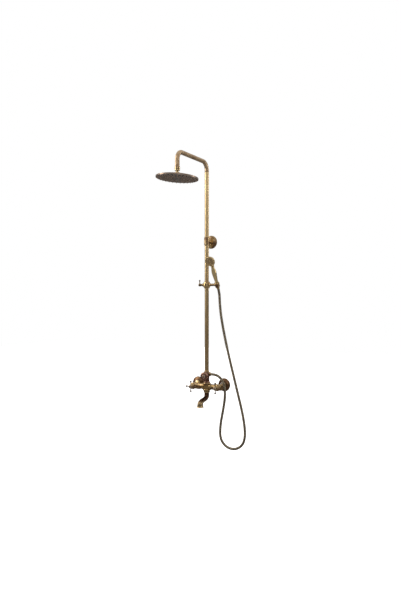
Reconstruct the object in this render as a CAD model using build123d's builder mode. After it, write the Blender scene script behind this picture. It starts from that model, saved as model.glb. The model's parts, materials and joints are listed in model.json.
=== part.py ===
from build123d import *
import math
import os

# Rainfall shower column: a wall-fed two-handle mixer with a swivelling spout, a diverter
# tower, a riser pipe that bends over to a rain head, and a hand shower on a sliding holder.
# Millimetres.  X runs along the wall, Y into the wall, Z up.  The origin lies on the wall,
# midway between the two water inlets.

os.makedirs("parts", exist_ok=True)

# ---- driving dimensions ------------------------------------------------------------------
INLET_X = 75.0            # half the spacing of the wall inlets
G_HALF_R = 10.48          # G1/2 male thread, outside radius
TAIL_OUT = 16.0           # length of thread that enters the wall
STANDOFF = 48.0           # wall to the riser axis

BODY_X = 70.0             # half the spacing of the valves
BODY_Z = -8.0             # height of the mixer body's axis
BODY_R = 16.0             # outside radius of the mixer body
BODY_END = 88.0           # half the length of the mixer body
HANDLE_Y = -88.0          # plane of the cross handles' spokes
SPOKE_REACH = 24.0        # handle axis to the centre of a ball tip
TIP_R = 4.8               # ball tip of a spoke

TOWER_TOP = 65.0          # top of the diverter housing
TOWER_R = 14.0            # outside radius of the diverter housing
KNOB_Z = 45.0             # height of the diverter knob's axis
KNOB_R = 23.0             # outside radius of the diverter knob
HOSE_OUT_Z = 55.0         # height of the hose outlet

PIPE_R = 10.5             # riser and arm, outside radius
PIPE_BORE = 9.3           # riser and arm, inside radius
RISER_TOP = 1073.0        # joint between the riser and the arm
ARM_Z = 1120.0            # axis of the arm
ARM_REACH = 278.0         # riser axis to drop axis
BEND_R = 39.0             # bend radius of the arm
DROP_END = 1038.0         # lower end of the arm

HEAD_R = 100.0            # radius of the rain head
BALL_Z = 1013.0           # centre of the rain head's ball joint
HEAD_TILT = 4.0           # degrees the rain head leans at rest, to the right and the wall
NOZZLE_RINGS = ((28, 8), (44, 16), (60, 32), (76, 32), (92, 32))   # radius, nozzles

BRACKET_Z = 723.0         # upper wall bracket
FLANGE_R = 33.5           # all three wall flanges
SCREW_SPACING = 32.0      # bracket plate's screw holes

SLIDER_Z = 504.0          # slider on the riser, at rest
HOLDER_X = 60.0           # hand shower holder, riser axis to handle axis
LEVER_X = -41.0           # locking lever
HAND_LEAN = 29.0          # degrees the hand shower leans away from the wall
HAND_HEAD = 134.0         # holder centre to the centre of the hand shower's face
HOSE_R = 6.5              # hose, outside radius

RUN = 0.05                # radial clearance of a running fit
GAP = 0.3                 # clearance between other pieces that move

# Route of the hose, from the tower's outlet to the hand shower, in hand-chosen points.
HOSE_ROUTE = (
    (24, -48, 55), (54, -48, 55), (82, -49, 38.5), (101, -50, 6), (106, -50, -50),
    (94, -49, -118), (77, -48, -196), (76, -48, -265), (116, -48, -305), (172, -47, -305),
    (213, -45, -263), (208, -42, -165), (153, -32, 16), (99, -25, 203), (69, -23, 338),
    (60, -22.5, 418), (60, -24.2, 461.05), (60, -37.2, 484.5),
)

# ---- planes ------------------------------------------------------------------------------
RISER_Y = -STANDOFF
UP = Plane((0, RISER_Y, 0), x_dir=(1, 0, 0), z_dir=(0, 0, 1))


def save(piece, name):
    """Label a finished piece and write it as its own STEP file."""
    piece.part.label = name
    export_step(piece.part, f"parts/{name}.step")


def turned(plane, outline):
    """A lathe-turned piece: the outline's points are (radius, distance along the normal)."""
    across = Plane(plane.origin, x_dir=plane.x_dir, z_dir=-plane.y_dir)
    with BuildPart() as piece:
        with BuildSketch(across):
            with BuildLine():
                Polyline(*outline, close=True)
            make_face()
        revolve(axis=Axis(plane.origin, plane.z_dir))
    return piece


def tube(plane, outer, inner, low, high):
    """A plain ring between two heights along the plane's normal."""
    return turned(plane, [(inner, low), (outer, low), (outer, high), (inner, high)])


def hex_nut(plane, flats, bore, low, high):
    """A six-sided nut with a plain bore and chamfered corners."""
    with BuildPart() as piece:
        with BuildSketch(plane.offset(low)):
            RegularPolygon(flats / 2, 6, major_radius=False)
            Circle(bore, mode=Mode.SUBTRACT)
        extrude(amount=high - low)
        along = Axis(plane.origin, plane.z_dir)
        rims = piece.edges().filter_by(GeomType.LINE).filter_by(along, reverse=True)
        chamfer(rims, 0.8)
    return piece


def joined(pieces):
    """Several equal pieces in one node, as separate solids."""
    with BuildPart() as group:
        for piece in pieces:
            add(piece.part)
    return group


# ---- wall connection ---------------------------------------------------------------------
CRANK_BACK = 13.0         # wall to the back of the eccentric union's crank
CRANK_FRONT = 17.0        # wall to the front of the crank
UNION_BORE = 7.0          # waterway of the eccentric union


def wall_union(side):
    """Eccentric union: a thread for the wall, a crank, and a nipple for the mixer's nut."""
    inlet = Plane((side * INLET_X, 0, 0), z_dir=(0, -1, 0))
    nipple = Plane((side * BODY_X, 0, BODY_Z), z_dir=(0, -1, 0))
    with BuildPart() as piece:
        with BuildSketch(inlet.offset(-TAIL_OUT)):
            Circle(G_HALF_R)
        extrude(amount=TAIL_OUT)
        with BuildSketch(inlet):
            Circle(14.0)
        extrude(amount=CRANK_BACK)
        with BuildSketch(inlet.offset(CRANK_BACK)):
            Circle(14.0)
        with BuildSketch(nipple.offset(CRANK_FRONT)):
            Circle(11.0)
        loft()
        with BuildSketch(nipple.offset(CRANK_FRONT)):
            Circle(11.0)
        extrude(amount=8.0)
        with BuildSketch(inlet.offset(-TAIL_OUT)):
            Circle(UNION_BORE)
        extrude(amount=TAIL_OUT + CRANK_BACK, mode=Mode.SUBTRACT)
        with BuildSketch(inlet.offset(CRANK_BACK)):
            Circle(UNION_BORE)
        with BuildSketch(nipple.offset(CRANK_FRONT)):
            Circle(UNION_BORE)
        loft(mode=Mode.SUBTRACT)
        with BuildSketch(nipple.offset(CRANK_FRONT)):
            Circle(UNION_BORE)
        extrude(amount=8.0, mode=Mode.SUBTRACT)
    return piece


def dome_cover(plane, hole, depth):
    """A pressed wall flange: a rolled rim, a crowned face and a round hole."""
    return turned(plane, [
        (FLANGE_R - 1.6, 0.0), (FLANGE_R, 0.0), (FLANGE_R, 3.2), (FLANGE_R - 4.0, 8.0),
        (FLANGE_R - 13.0, depth - 1.0), (hole, depth), (hole, depth - 1.6),
        (FLANGE_R - 13.6, depth - 2.6), (FLANGE_R - 5.2, 6.8), (FLANGE_R - 1.6, 2.6),
    ])


unions = joined([wall_union(side) for side in (-1, 1)])
save(unions, "wall_unions")

inlet_planes = [Plane((side * INLET_X, 0, 0), z_dir=(0, -1, 0)) for side in (-1, 1)]
valve_planes = [Plane((side * BODY_X, 0, BODY_Z), z_dir=(0, -1, 0)) for side in (-1, 1)]
wall_flanges = joined([dome_cover(plane, 15.0, 13.0) for plane in inlet_planes])
save(wall_flanges, "wall_flanges")

inlet_seals = joined([tube(plane, 10.6, 7.2, 25.0, 27.0) for plane in valve_planes])
save(inlet_seals, "inlet_seals")

union_nuts = joined([hex_nut(plane, 27.0, 11.0, 17.6, 30.5) for plane in valve_planes])
save(union_nuts, "union_nuts")

# ---- mixer body --------------------------------------------------------------------------
VALVE_SEAT = 24.0         # valve bore's depth, from its mouth
VALVE_MOUTH = STANDOFF + 19.0   # distance of a valve's mouth from the wall
CARTRIDGE_R = 9.0         # ceramic cartridge, radius
SPOUT_TOP = BODY_Z - 20.0       # underside of the mixer body at the spout
HUB_TOP = BODY_Z + 20.0         # top of the mixer body's hub, under the diverter housing
HUB_R = 20.0                    # radius of the hub
CENTRE_BORE = 8.0               # upright waterway through the hub

with BuildPart() as mixer_body:
    with BuildSketch(Plane((-BODY_END, RISER_Y, BODY_Z), z_dir=(1, 0, 0))):
        Circle(BODY_R)
    extrude(amount=2 * BODY_END)
    ends = mixer_body.edges().filter_by(GeomType.CIRCLE)
    fillet(ends, 5.0)
    for plane in valve_planes:
        with BuildSketch(plane.offset(27.0)):
            Circle(10.9)
        extrude(amount=12.0)
        with BuildSketch(plane.offset(STANDOFF)):
            Circle(15.0)
        extrude(amount=VALVE_MOUTH - STANDOFF)
    with BuildSketch(UP.offset(SPOUT_TOP)):
        Circle(HUB_R)
    extrude(amount=HUB_TOP - SPOUT_TOP)
    hub_rims = mixer_body.edges().filter_by(GeomType.CIRCLE).filter_by(
        lambda e: abs(e.radius - HUB_R) < 0.01)
    fillet(hub_rims, 3.0)
    with BuildSketch(UP.offset(SPOUT_TOP)):
        Circle(CENTRE_BORE)
    extrude(amount=HUB_TOP - SPOUT_TOP, mode=Mode.SUBTRACT)
    for plane in valve_planes:
        with BuildSketch(plane.offset(27.0)):
            Circle(7.0)
        extrude(amount=24.0, mode=Mode.SUBTRACT)
        with BuildSketch(plane.offset(VALVE_MOUTH - VALVE_SEAT)):
            Circle(CARTRIDGE_R)
        extrude(amount=VALVE_SEAT, mode=Mode.SUBTRACT)
    with BuildSketch(Plane((-BODY_X + 8.0, RISER_Y, BODY_Z), z_dir=(1, 0, 0))):
        Circle(6.0)
    extrude(amount=2 * BODY_X - 16.0, mode=Mode.SUBTRACT)
save(mixer_body, "mixer_body")

# ---- valves and cross handles ------------------------------------------------------------
SPINDLE_R = 4.0
HANDLE_OUT = -HANDLE_Y          # distance of the spokes' plane from the wall
HUB_BACK = HANDLE_OUT - 8.5     # rear face of a handle's hub
HUB_FRONT = HANDLE_OUT + 8.0    # front face of a handle's hub
SPLINE_IN = 7.5                 # spindle's length inside the hub

cartridges = joined([
    tube(plane, CARTRIDGE_R, SPINDLE_R + RUN, VALVE_MOUTH - VALVE_SEAT, VALVE_MOUTH + 6.0)
    for plane in valve_planes])
save(cartridges, "valve_cartridges")

bonnets = joined([
    turned(plane, [
        (CARTRIDGE_R, VALVE_MOUTH), (16.5, VALVE_MOUTH), (16.5, VALVE_MOUTH + 2.6),
        (13.8, VALVE_MOUTH + 4.6), (12.8, VALVE_MOUTH + 7.0), (9.5, VALVE_MOUTH + 10.0),
        (9.5, HUB_BACK - 1.0), (SPINDLE_R + GAP, HUB_BACK - 1.0),
        (SPINDLE_R + GAP, VALVE_MOUTH + 6.0), (CARTRIDGE_R, VALVE_MOUTH + 6.0),
    ])
    for plane in valve_planes])
save(bonnets, "valve_bonnets")


def cross_handle(side, name):
    """The pieces of one cross handle: spindle, hub, four spokes, screw and index cap."""
    axis = Plane((side * BODY_X, 0, BODY_Z), z_dir=(0, -1, 0))
    spindle = turned(axis, [
        (0.0, VALVE_MOUTH - VALVE_SEAT + 2.0), (SPINDLE_R, VALVE_MOUTH - VALVE_SEAT + 2.0),
        (SPINDLE_R, HUB_BACK + SPLINE_IN), (1.9, HUB_BACK + SPLINE_IN),
        (1.9, HUB_BACK - 4.0), (0.0, HUB_BACK - 4.0)])
    save(spindle, f"{name}_spindle")

    hub = turned(axis, [
        (SPINDLE_R, HUB_BACK), (9.0, HUB_BACK), (9.0, HUB_BACK + 1.6),
        (7.4, HUB_BACK + 2.6), (7.8, HANDLE_OUT - 4.8), (10.0, HANDLE_OUT - 3.5),
        (10.0, HANDLE_OUT + 3.5), (8.6, HANDLE_OUT + 5.0), (8.6, HUB_FRONT),
        (7.0, HUB_FRONT), (7.0, HUB_FRONT - 4.0), (4.6, HUB_FRONT - 4.0),
        (4.6, HUB_BACK + SPLINE_IN + 1.0), (2.2, HUB_BACK + SPLINE_IN + 1.0),
        (2.2, HUB_BACK + SPLINE_IN), (SPINDLE_R, HUB_BACK + SPLINE_IN)])
    save(hub, f"{name}_hub")

    centre = axis.offset(HANDLE_OUT).origin
    ways = [Vector(1, 0, 0), Vector(0, 0, 1), Vector(-1, 0, 0), Vector(0, 0, -1)]
    rods = [turned(Plane(centre, z_dir=way), [
        (0.0, 9.5), (2.9, 9.5), (2.9, 10.5), (1.9, 13.0), (1.9, SPOKE_REACH - 4.0),
        (0.0, SPOKE_REACH - 4.0)]) for way in ways]
    with BuildPart() as spokes:
        for rod, way in zip(rods, ways):
            add(rod.part)
            with Locations(centre + way * SPOKE_REACH):
                Sphere(TIP_R)
    save(spokes, f"{name}_spokes")

    screw = turned(axis, [
        (0.0, HUB_BACK - 2.0), (1.9, HUB_BACK - 2.0), (1.9, HUB_BACK + SPLINE_IN + 1.0),
        (4.0, HUB_BACK + SPLINE_IN + 1.0), (4.0, HUB_BACK + SPLINE_IN + 4.0),
        (0.0, HUB_BACK + SPLINE_IN + 4.0)])
    save(screw, f"{name}_screw")

    cap = turned(axis, [
        (0.0, HUB_FRONT - 4.0), (7.0, HUB_FRONT - 4.0), (7.0, HUB_FRONT),
        (4.5, HUB_FRONT + 1.4), (0.0, HUB_FRONT + 2.0)])
    save(cap, f"{name}_cap")


cross_handle(-1, "hot")
cross_handle(1, "cold")

# ---- diverter tower ----------------------------------------------------------------------
DIVERTER = Plane((0, RISER_Y, KNOB_Z), z_dir=(0, -1, 0))
OUTLET = Plane((0, RISER_Y, HOSE_OUT_Z), z_dir=(1, 0, 0))
BARREL_R = 12.0           # diverter barrel, outside radius
BARREL_OUT = 15.5         # riser axis to the barrel's mouth
KNOB_BACK = 19.0          # riser axis to the back of the knob
KNOB_FRONT = 34.0         # riser axis to the front of the knob
LOBES = 10                # flutes round the knob
STEM_R = 3.5              # diverter spindle, radius
NUT_BACK = 15.0           # riser axis to the inner face of the hose nut
NUT_LIP = 22.0            # riser axis to the end of the hose nut's hexagon
NUT_OUT = 24.0            # riser axis to the outer face of the hose nut

with BuildPart() as diverter_housing:
    with BuildSketch(UP.offset(HUB_TOP)):
        Circle(TOWER_R + 2.5)
    extrude(amount=5.0)
    with BuildSketch(UP.offset(HUB_TOP)):
        Circle(TOWER_R)
    extrude(amount=TOWER_TOP - HUB_TOP)
    with BuildSketch(DIVERTER):
        Circle(BARREL_R)
    extrude(amount=BARREL_OUT)
    with BuildSketch(OUTLET):
        Circle(8.2)
    extrude(amount=NUT_BACK)
    with BuildSketch(OUTLET):
        Circle(6.4)
    extrude(amount=NUT_LIP)
    with BuildSketch(UP.offset(HUB_TOP)):
        Circle(CENTRE_BORE)
    extrude(amount=TOWER_TOP - HUB_TOP - 5.0, mode=Mode.SUBTRACT)
    with BuildSketch(UP.offset(TOWER_TOP - 5.0)):
        Circle(PIPE_BORE)
    extrude(amount=5.0, mode=Mode.SUBTRACT)
    with BuildSketch(DIVERTER.offset(CENTRE_BORE)):
        Circle(CENTRE_BORE)
    extrude(amount=BARREL_OUT - CENTRE_BORE, mode=Mode.SUBTRACT)
    with BuildSketch(OUTLET):
        Circle(4.0)
    extrude(amount=NUT_LIP, mode=Mode.SUBTRACT)
save(diverter_housing, "diverter_housing")

diverter_cartridge = tube(DIVERTER, CENTRE_BORE, STEM_R + RUN, 9.0, BARREL_OUT)
save(diverter_cartridge, "diverter_cartridge")

diverter_bonnet = turned(DIVERTER, [
    (STEM_R + GAP, BARREL_OUT), (BARREL_R + 1.0, BARREL_OUT), (BARREL_R + 1.0, BARREL_OUT + 2.0),
    (BARREL_R - 1.0, KNOB_BACK - 0.6), (STEM_R + GAP, KNOB_BACK - 0.6)])
save(diverter_bonnet, "diverter_bonnet")

diverter_spindle = turned(DIVERTER, [
    (0, 10.0), (STEM_R, 10.0), (STEM_R, KNOB_FRONT - 6.0), (1.9, KNOB_FRONT - 6.0),
    (1.9, KNOB_FRONT - 14.0), (0, KNOB_FRONT - 14.0)])
save(diverter_spindle, "diverter_spindle")

with BuildPart() as diverter_knob:
    with BuildSketch(DIVERTER.offset(KNOB_BACK)):
        Circle(KNOB_R)
        with PolarLocations(KNOB_R + 2.8, LOBES):
            Circle(5.0, mode=Mode.SUBTRACT)
        Circle(STEM_R, mode=Mode.SUBTRACT)
    extrude(amount=KNOB_FRONT - KNOB_BACK)
    with BuildSketch(Plane(DIVERTER.origin, x_dir=DIVERTER.x_dir, z_dir=-DIVERTER.y_dir)):
        with BuildLine():
            Polyline((0, KNOB_BACK), (KNOB_R - 1.5, KNOB_BACK), (KNOB_R, KNOB_BACK + 2.0),
                     (KNOB_R, KNOB_FRONT - 5.0), (KNOB_R - 4.5, KNOB_FRONT),
                     (8.0, KNOB_FRONT), (8.0, KNOB_FRONT - 3.0), (5.0, KNOB_FRONT - 3.0),
                     (5.0, KNOB_FRONT - 6.0), (0, KNOB_FRONT - 6.0), close=True)
        make_face()
    revolve(axis=Axis(DIVERTER.origin, DIVERTER.z_dir), mode=Mode.INTERSECT)
save(diverter_knob, "diverter_knob")

diverter_screw = turned(DIVERTER, [
    (0, KNOB_FRONT - 13.0), (1.9, KNOB_FRONT - 13.0), (1.9, KNOB_FRONT - 6.0),
    (4.2, KNOB_FRONT - 6.0), (4.2, KNOB_FRONT - 3.4), (0, KNOB_FRONT - 3.4)])
save(diverter_screw, "diverter_screw")

diverter_cap = turned(DIVERTER, [
    (0, KNOB_FRONT - 3.0), (8.0, KNOB_FRONT - 3.0), (8.0, KNOB_FRONT), (5.0, KNOB_FRONT + 1.5),
    (0, KNOB_FRONT + 2.0)])
save(diverter_cap, "diverter_cap")

hexagon = hex_nut(OUTLET, 17.0, 6.4, NUT_BACK, NUT_LIP)
with BuildPart() as hose_nut:
    add(hexagon.part)
    with BuildSketch(OUTLET.offset(NUT_LIP)):
        Circle(8.2)
        Circle(4.0, mode=Mode.SUBTRACT)
    extrude(amount=NUT_OUT - NUT_LIP)
save(hose_nut, "hose_nut")

# ---- riser and arm -----------------------------------------------------------------------
SPIGOT_TOP = TOWER_TOP + 18.0

riser_spigot = turned(UP, [
    (7.0, TOWER_TOP - 5.0), (PIPE_BORE, TOWER_TOP - 5.0), (PIPE_BORE, TOWER_TOP - 3.9),
    (8.2, TOWER_TOP - 3.9), (8.2, TOWER_TOP - 2.1), (PIPE_BORE, TOWER_TOP - 2.1),
    (PIPE_BORE, SPIGOT_TOP), (7.0, SPIGOT_TOP)])
save(riser_spigot, "riser_spigot")

riser_collar = turned(UP, [
    (PIPE_R, TOWER_TOP), (13.2, TOWER_TOP), (13.2, TOWER_TOP + 5.0), (12.0, TOWER_TOP + 7.0),
    (PIPE_R, TOWER_TOP + 7.0)])
save(riser_collar, "riser_collar")

riser_pipe = tube(UP, PIPE_R, PIPE_BORE, TOWER_TOP, RISER_TOP)
save(riser_pipe, "riser_pipe")

arm_coupler = tube(UP, PIPE_BORE, 7.8, RISER_TOP - 22.0, RISER_TOP + 7.0)
save(arm_coupler, "arm_coupler")

DROP_Y = RISER_Y - ARM_REACH
with BuildPart() as arm_pipe:
    with BuildLine():
        FilletPolyline((0, RISER_Y, RISER_TOP), (0, RISER_Y, ARM_Z), (0, DROP_Y, ARM_Z),
                       (0, DROP_Y, DROP_END), radius=BEND_R)
    with BuildSketch(UP.offset(RISER_TOP)):
        Circle(PIPE_R)
        Circle(PIPE_BORE, mode=Mode.SUBTRACT)
    sweep()
save(arm_pipe, "arm_pipe")

# ---- rain head ---------------------------------------------------------------------------
BALL_R = 9.5
NECK_R = 6.0
DROP = Plane((0, DROP_Y, BALL_Z), x_dir=(1, 0, 0), z_dir=(0, 0, 1))
TILT_AXIS = (0.5, -0.8660254, 0.0)      # horizontal axis about which the head leans
HEAD = Plane(
    (0, DROP_Y, BALL_Z), x_dir=TILT_AXIS,
    z_dir=Vector(0, 0, 1).rotate(Axis((0, 0, 0), TILT_AXIS), -HEAD_TILT))
RIM_TOP = -15.0           # rim of the head, from the ball's centre
RIM_LOW = -23.0
PLATE_R = HEAD_R - 1.8

arm_nut = turned(DROP, [
    (NECK_R + RUN, 14.0), (10.5, 14.0), (12.5, 16.0), (12.5, 33.0), (PIPE_R, 33.0),
    (PIPE_R, DROP_END - BALL_Z), (NECK_R + RUN, DROP_END - BALL_Z)])
save(arm_nut, "arm_nut")

with BuildPart() as swivel_ball:
    with Locations(DROP):
        Sphere(BALL_R)
    with BuildSketch(DROP):
        Circle(NECK_R)
    extrude(amount=DROP_END - BALL_Z - 1.0)
    with BuildSketch(DROP.offset(-BALL_R)):
        Circle(3.5)
    extrude(amount=BALL_R + DROP_END - BALL_Z, mode=Mode.SUBTRACT)
save(swivel_ball, "swivel_ball")

with BuildPart() as ball_seat:
    with BuildSketch(HEAD.offset(-9.5)):
        Circle(9.9)
        Circle(4.5, mode=Mode.SUBTRACT)
    extrude(amount=7.0)
    with Locations(HEAD):
        Sphere(BALL_R + RUN, mode=Mode.SUBTRACT)
save(ball_seat, "ball_seat")

head_nut = turned(HEAD, [
    (8.6, 4.6), (8.6, 7.0), (11.5, 7.0), (13.8, 4.5), (13.8, -6.0), (12.4, -6.0),
    (12.4, 1.0), (9.9, 1.0), (9.9, 4.6)])
save(head_nut, "head_nut")

head_shell = turned(HEAD, [
    (5.0, -11.6), (5.0, -9.5), (9.9, -9.5), (9.9, 1.0), (12.4, 1.0), (12.4, -6.4),
    (14.5, -8.0), (17.0, -10.5), (40.0, -12.6), (80.0, -14.2), (HEAD_R - 1.0, RIM_TOP),
    (HEAD_R, RIM_TOP - 1.0), (HEAD_R, RIM_LOW), (PLATE_R, RIM_LOW), (PLATE_R, RIM_TOP - 1.6),
    (80.0, -15.6), (40.0, -14.0), (17.0, -12.2)])
save(head_shell, "head_shell")

with BuildPart() as head_plate:
    with BuildSketch(HEAD.offset(RIM_LOW + 0.4)):
        Circle(PLATE_R)
        for ring_r, count in NOZZLE_RINGS:
            with PolarLocations(ring_r, count):
                Circle(2.3, mode=Mode.SUBTRACT)
    extrude(amount=1.6)
save(head_plate, "head_plate")

with BuildPart() as head_mat:
    with BuildSketch(HEAD.offset(RIM_LOW + 2.0)):
        Circle(PLATE_R)
        Circle(6.0, mode=Mode.SUBTRACT)
    extrude(amount=1.4)
    with BuildSketch(HEAD.offset(RIM_LOW + 2.0)):
        for ring_r, count in NOZZLE_RINGS:
            with PolarLocations(ring_r, count):
                Circle(2.2)
    extrude(amount=-5.6, taper=7)
save(head_mat, "head_mat")

# ---- upper wall bracket ------------------------------------------------------------------
BRACKET = Plane((0, 0, BRACKET_Z), x_dir=(1, 0, 0), z_dir=(0, -1, 0))
ARM_TUBE_R = 9.0
SLEEVE_R = 13.5
SLEEVE_H = 44.0

with BuildPart() as bracket_plate:
    with BuildSketch(BRACKET):
        Circle(27.0)
        with GridLocations(0, SCREW_SPACING, 1, 2):
            Circle(2.6, mode=Mode.SUBTRACT)
    extrude(amount=3.0)
save(bracket_plate, "bracket_plate")

with BuildPart() as bracket_arm:
    with BuildSketch(BRACKET.offset(3.0)):
        Circle(ARM_TUBE_R)
    extrude(amount=STANDOFF - 3.0)
    with BuildSketch(UP.offset(BRACKET_Z - SLEEVE_H)):
        Circle(SLEEVE_R)
    extrude(amount=2 * SLEEVE_H, mode=Mode.SUBTRACT)
save(bracket_arm, "bracket_arm")

bracket_flange = dome_cover(BRACKET, ARM_TUBE_R, 12.0)
save(bracket_flange, "bracket_flange")

SLEEVE_LOW = BRACKET_Z - SLEEVE_H / 2
SLEEVE_HIGH = BRACKET_Z + SLEEVE_H / 2
with BuildPart() as bracket_sleeve:
    with BuildSketch(UP.offset(SLEEVE_LOW)):
        Circle(SLEEVE_R)
    extrude(amount=SLEEVE_H)
    chamfer(bracket_sleeve.edges().filter_by(GeomType.CIRCLE), 1.2)
    with BuildSketch(UP.offset(SLEEVE_LOW)):
        Circle(PIPE_R)
    extrude(amount=SLEEVE_H, mode=Mode.SUBTRACT)
    with BuildSketch(Plane((SLEEVE_R, RISER_Y, BRACKET_Z), z_dir=(-1, 0, 0))):
        Circle(2.0)
    extrude(amount=6.0, mode=Mode.SUBTRACT)
save(bracket_sleeve, "bracket_sleeve")

GRUB = Plane((PIPE_R + 0.1, RISER_Y, BRACKET_Z), z_dir=(1, 0, 0))
bracket_grub = tube(GRUB, 2.0, 0.9, 0.0, 2.6)
save(bracket_grub, "bracket_grub")

# ---- slider and holder -------------------------------------------------------------------
SLIDER = Plane((0, RISER_Y, SLIDER_Z), x_dir=(1, 0, 0), z_dir=(0, 0, 1))
BAR = Plane((0, RISER_Y, SLIDER_Z), z_dir=(1, 0, 0))
BUSH_R = 12.5             # slider's plastic bushing, outside radius
PIN_R = 4.0               # pivot pin of the holder
SCREW_R = 4.0             # clamping screw
CUP_WALL = HOLDER_X - 13.0      # where the bar ends and the holder's cheek starts

with BuildPart() as slider_body:
    with BuildSketch(Plane(SLIDER.origin, x_dir=SLIDER.x_dir, z_dir=-SLIDER.y_dir)):
        with BuildLine():
            Polyline((BUSH_R, -17.0), (14.0, -17.0), (15.0, -14.0), (17.0, -9.0), (17.0, 9.0),
                     (15.0, 14.0), (14.0, 17.0), (BUSH_R, 17.0), close=True)
        make_face()
    revolve(axis=Axis(SLIDER.origin, SLIDER.z_dir))
    with BuildSketch(BAR.offset(15.0)):
        Circle(8.5)
    extrude(amount=6.0)
    with BuildSketch(BAR.offset(-15.0)):
        Circle(8.5)
    extrude(amount=-6.0)
    with BuildSketch(BAR.offset(13.5)):
        Circle(PIN_R)
    extrude(amount=10.0, mode=Mode.SUBTRACT)
    with BuildSketch(BAR.offset(-10.0)):
        Circle(SCREW_R + RUN)
    extrude(amount=-14.0, mode=Mode.SUBTRACT)
save(slider_body, "slider_body")

with BuildPart() as slider_bushing:
    with BuildSketch(SLIDER.offset(-16.0)):
        Circle(BUSH_R)
        Circle(PIPE_R + RUN, mode=Mode.SUBTRACT)
    extrude(amount=32.0)
save(slider_bushing, "slider_bushing")

slider_bar = turned(BAR, [
    (0, 14.0), (PIN_R, 14.0), (PIN_R, 21.0), (7.5, 21.0), (7.5, 24.0), (6.2, 27.0),
    (6.2, CUP_WALL - 5.0), (7.5, CUP_WALL - 3.0), (7.5, CUP_WALL - GAP),
    (PIN_R, CUP_WALL - GAP), (PIN_R, CUP_WALL + 2.6), (0, CUP_WALL + 2.6)])
save(slider_bar, "slider_bar")

SCREW = Plane((0, RISER_Y, SLIDER_Z), z_dir=(-1, 0, 0))
lock_screw = turned(SCREW, [
    (0, BUSH_R + 0.2), (SCREW_R, BUSH_R + 0.2), (SCREW_R, 38.0), (0, 38.0)])
save(lock_screw, "lock_screw")

with BuildPart() as lock_lever:
    with BuildSketch(Plane(SCREW.origin, x_dir=SCREW.x_dir, z_dir=-SCREW.y_dir)):
        with BuildLine():
            Polyline((SCREW_R, 22.0), (7.5, 22.0), (7.5, 25.0), (5.8, 28.0), (5.8, 34.0),
                     (7.0, 36.0), (7.0, 44.0), (5.0, 46.5), (0, 46.5), (0, 38.0),
                     (SCREW_R, 38.0), close=True)
        make_face()
    revolve(axis=Axis(SCREW.origin, SCREW.z_dir))
    with BuildSketch(Plane((LEVER_X, RISER_Y, SLIDER_Z + 4.0), z_dir=(0, 0, 1))):
        Circle(2.4)
    extrude(amount=17.0)
    with Locations((LEVER_X, RISER_Y, SLIDER_Z + 22.0)):
        Sphere(4.0)
save(lock_lever, "lock_lever")

# ---- hand shower -------------------------------------------------------------------------
HAND = Plane((HOLDER_X, RISER_Y, SLIDER_Z), x_dir=(1, 0, 0), z_dir=(0, 0, 1)).rotated(
    (HAND_LEAN, 0, 0))
CONE_LOW = 7.6            # hose cone, radius at its lower end
CONE_HIGH = 10.4          # hose cone, radius at its upper end
CONE_BOTTOM = -22.0
CONE_TOP = 12.0
CONE_FIT = GAP + 0.05


def cone_radius(height):
    """Radius of the hose cone at a height along the hand shower's axis."""
    share = (height - CONE_BOTTOM) / (CONE_TOP - CONE_BOTTOM)
    return CONE_LOW + share * (CONE_HIGH - CONE_LOW)


with BuildPart() as holder_cup:
    with BuildSketch(Plane(HAND.origin, x_dir=HAND.x_dir, z_dir=-HAND.y_dir)):
        with BuildLine():
            Polyline((cone_radius(-13.0) + CONE_FIT, -13.0), (11.8, -13.0), (12.4, -9.0),
                     (12.4, 6.0), (12.9, 8.0), (12.9, 11.0),
                     (cone_radius(11.0) + CONE_FIT, 11.0), close=True)
        make_face()
    revolve(axis=Axis(HAND.origin, HAND.z_dir))
    with BuildSketch(BAR.offset(CUP_WALL)):
        Circle(7.5)
    extrude(amount=3.0)
    with BuildSketch(BAR.offset(CUP_WALL - 1.0)):
        Circle(PIN_R + RUN)
    extrude(amount=5.0, mode=Mode.SUBTRACT)
    with BuildSketch(HAND.offset(-30.0)):
        Rectangle(30.0, 13.4, align=(Align.MIN, Align.CENTER))
    extrude(amount=60.0, mode=Mode.SUBTRACT)
    with BuildSketch(Plane(HAND.origin, x_dir=HAND.x_dir, z_dir=-HAND.y_dir)):
        with BuildLine():
            Polyline((0, -14.0), (cone_radius(-14.0) + CONE_FIT, -14.0),
                     (cone_radius(12.0) + CONE_FIT, 12.0), (0, 12.0), close=True)
        make_face()
    revolve(axis=Axis(HAND.origin, HAND.z_dir), mode=Mode.SUBTRACT)
save(holder_cup, "holder_cup")

handset_nut = turned(HAND, [
    (4.0, CONE_BOTTOM), (CONE_LOW, CONE_BOTTOM), (CONE_HIGH, CONE_TOP), (4.0, CONE_TOP)])
save(handset_nut, "handset_nut")

FACE_OUT = 14.0           # handle axis to the hand shower's spray face
FACE = Plane(HAND.offset(HAND_HEAD).origin, x_dir=(1, 0, 0), z_dir=-HAND.y_dir)
HAND_R = 25.5             # hand shower's head, radius
HANDLE_TOP = HAND_HEAD - 26.0

handset_handle = turned(HAND, [
    (4.0, CONE_TOP), (9.6, CONE_TOP), (9.6, 16.0), (8.0, 18.0), (8.6, 30.0), (11.4, 58.0),
    (12.0, 68.0), (11.0, 78.0), (8.2, 93.0), (7.6, 99.0), (9.2, 102.0), (9.2, 104.5),
    (7.4, HANDLE_TOP), (4.0, HANDLE_TOP)])
save(handset_handle, "handset_handle")

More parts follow.
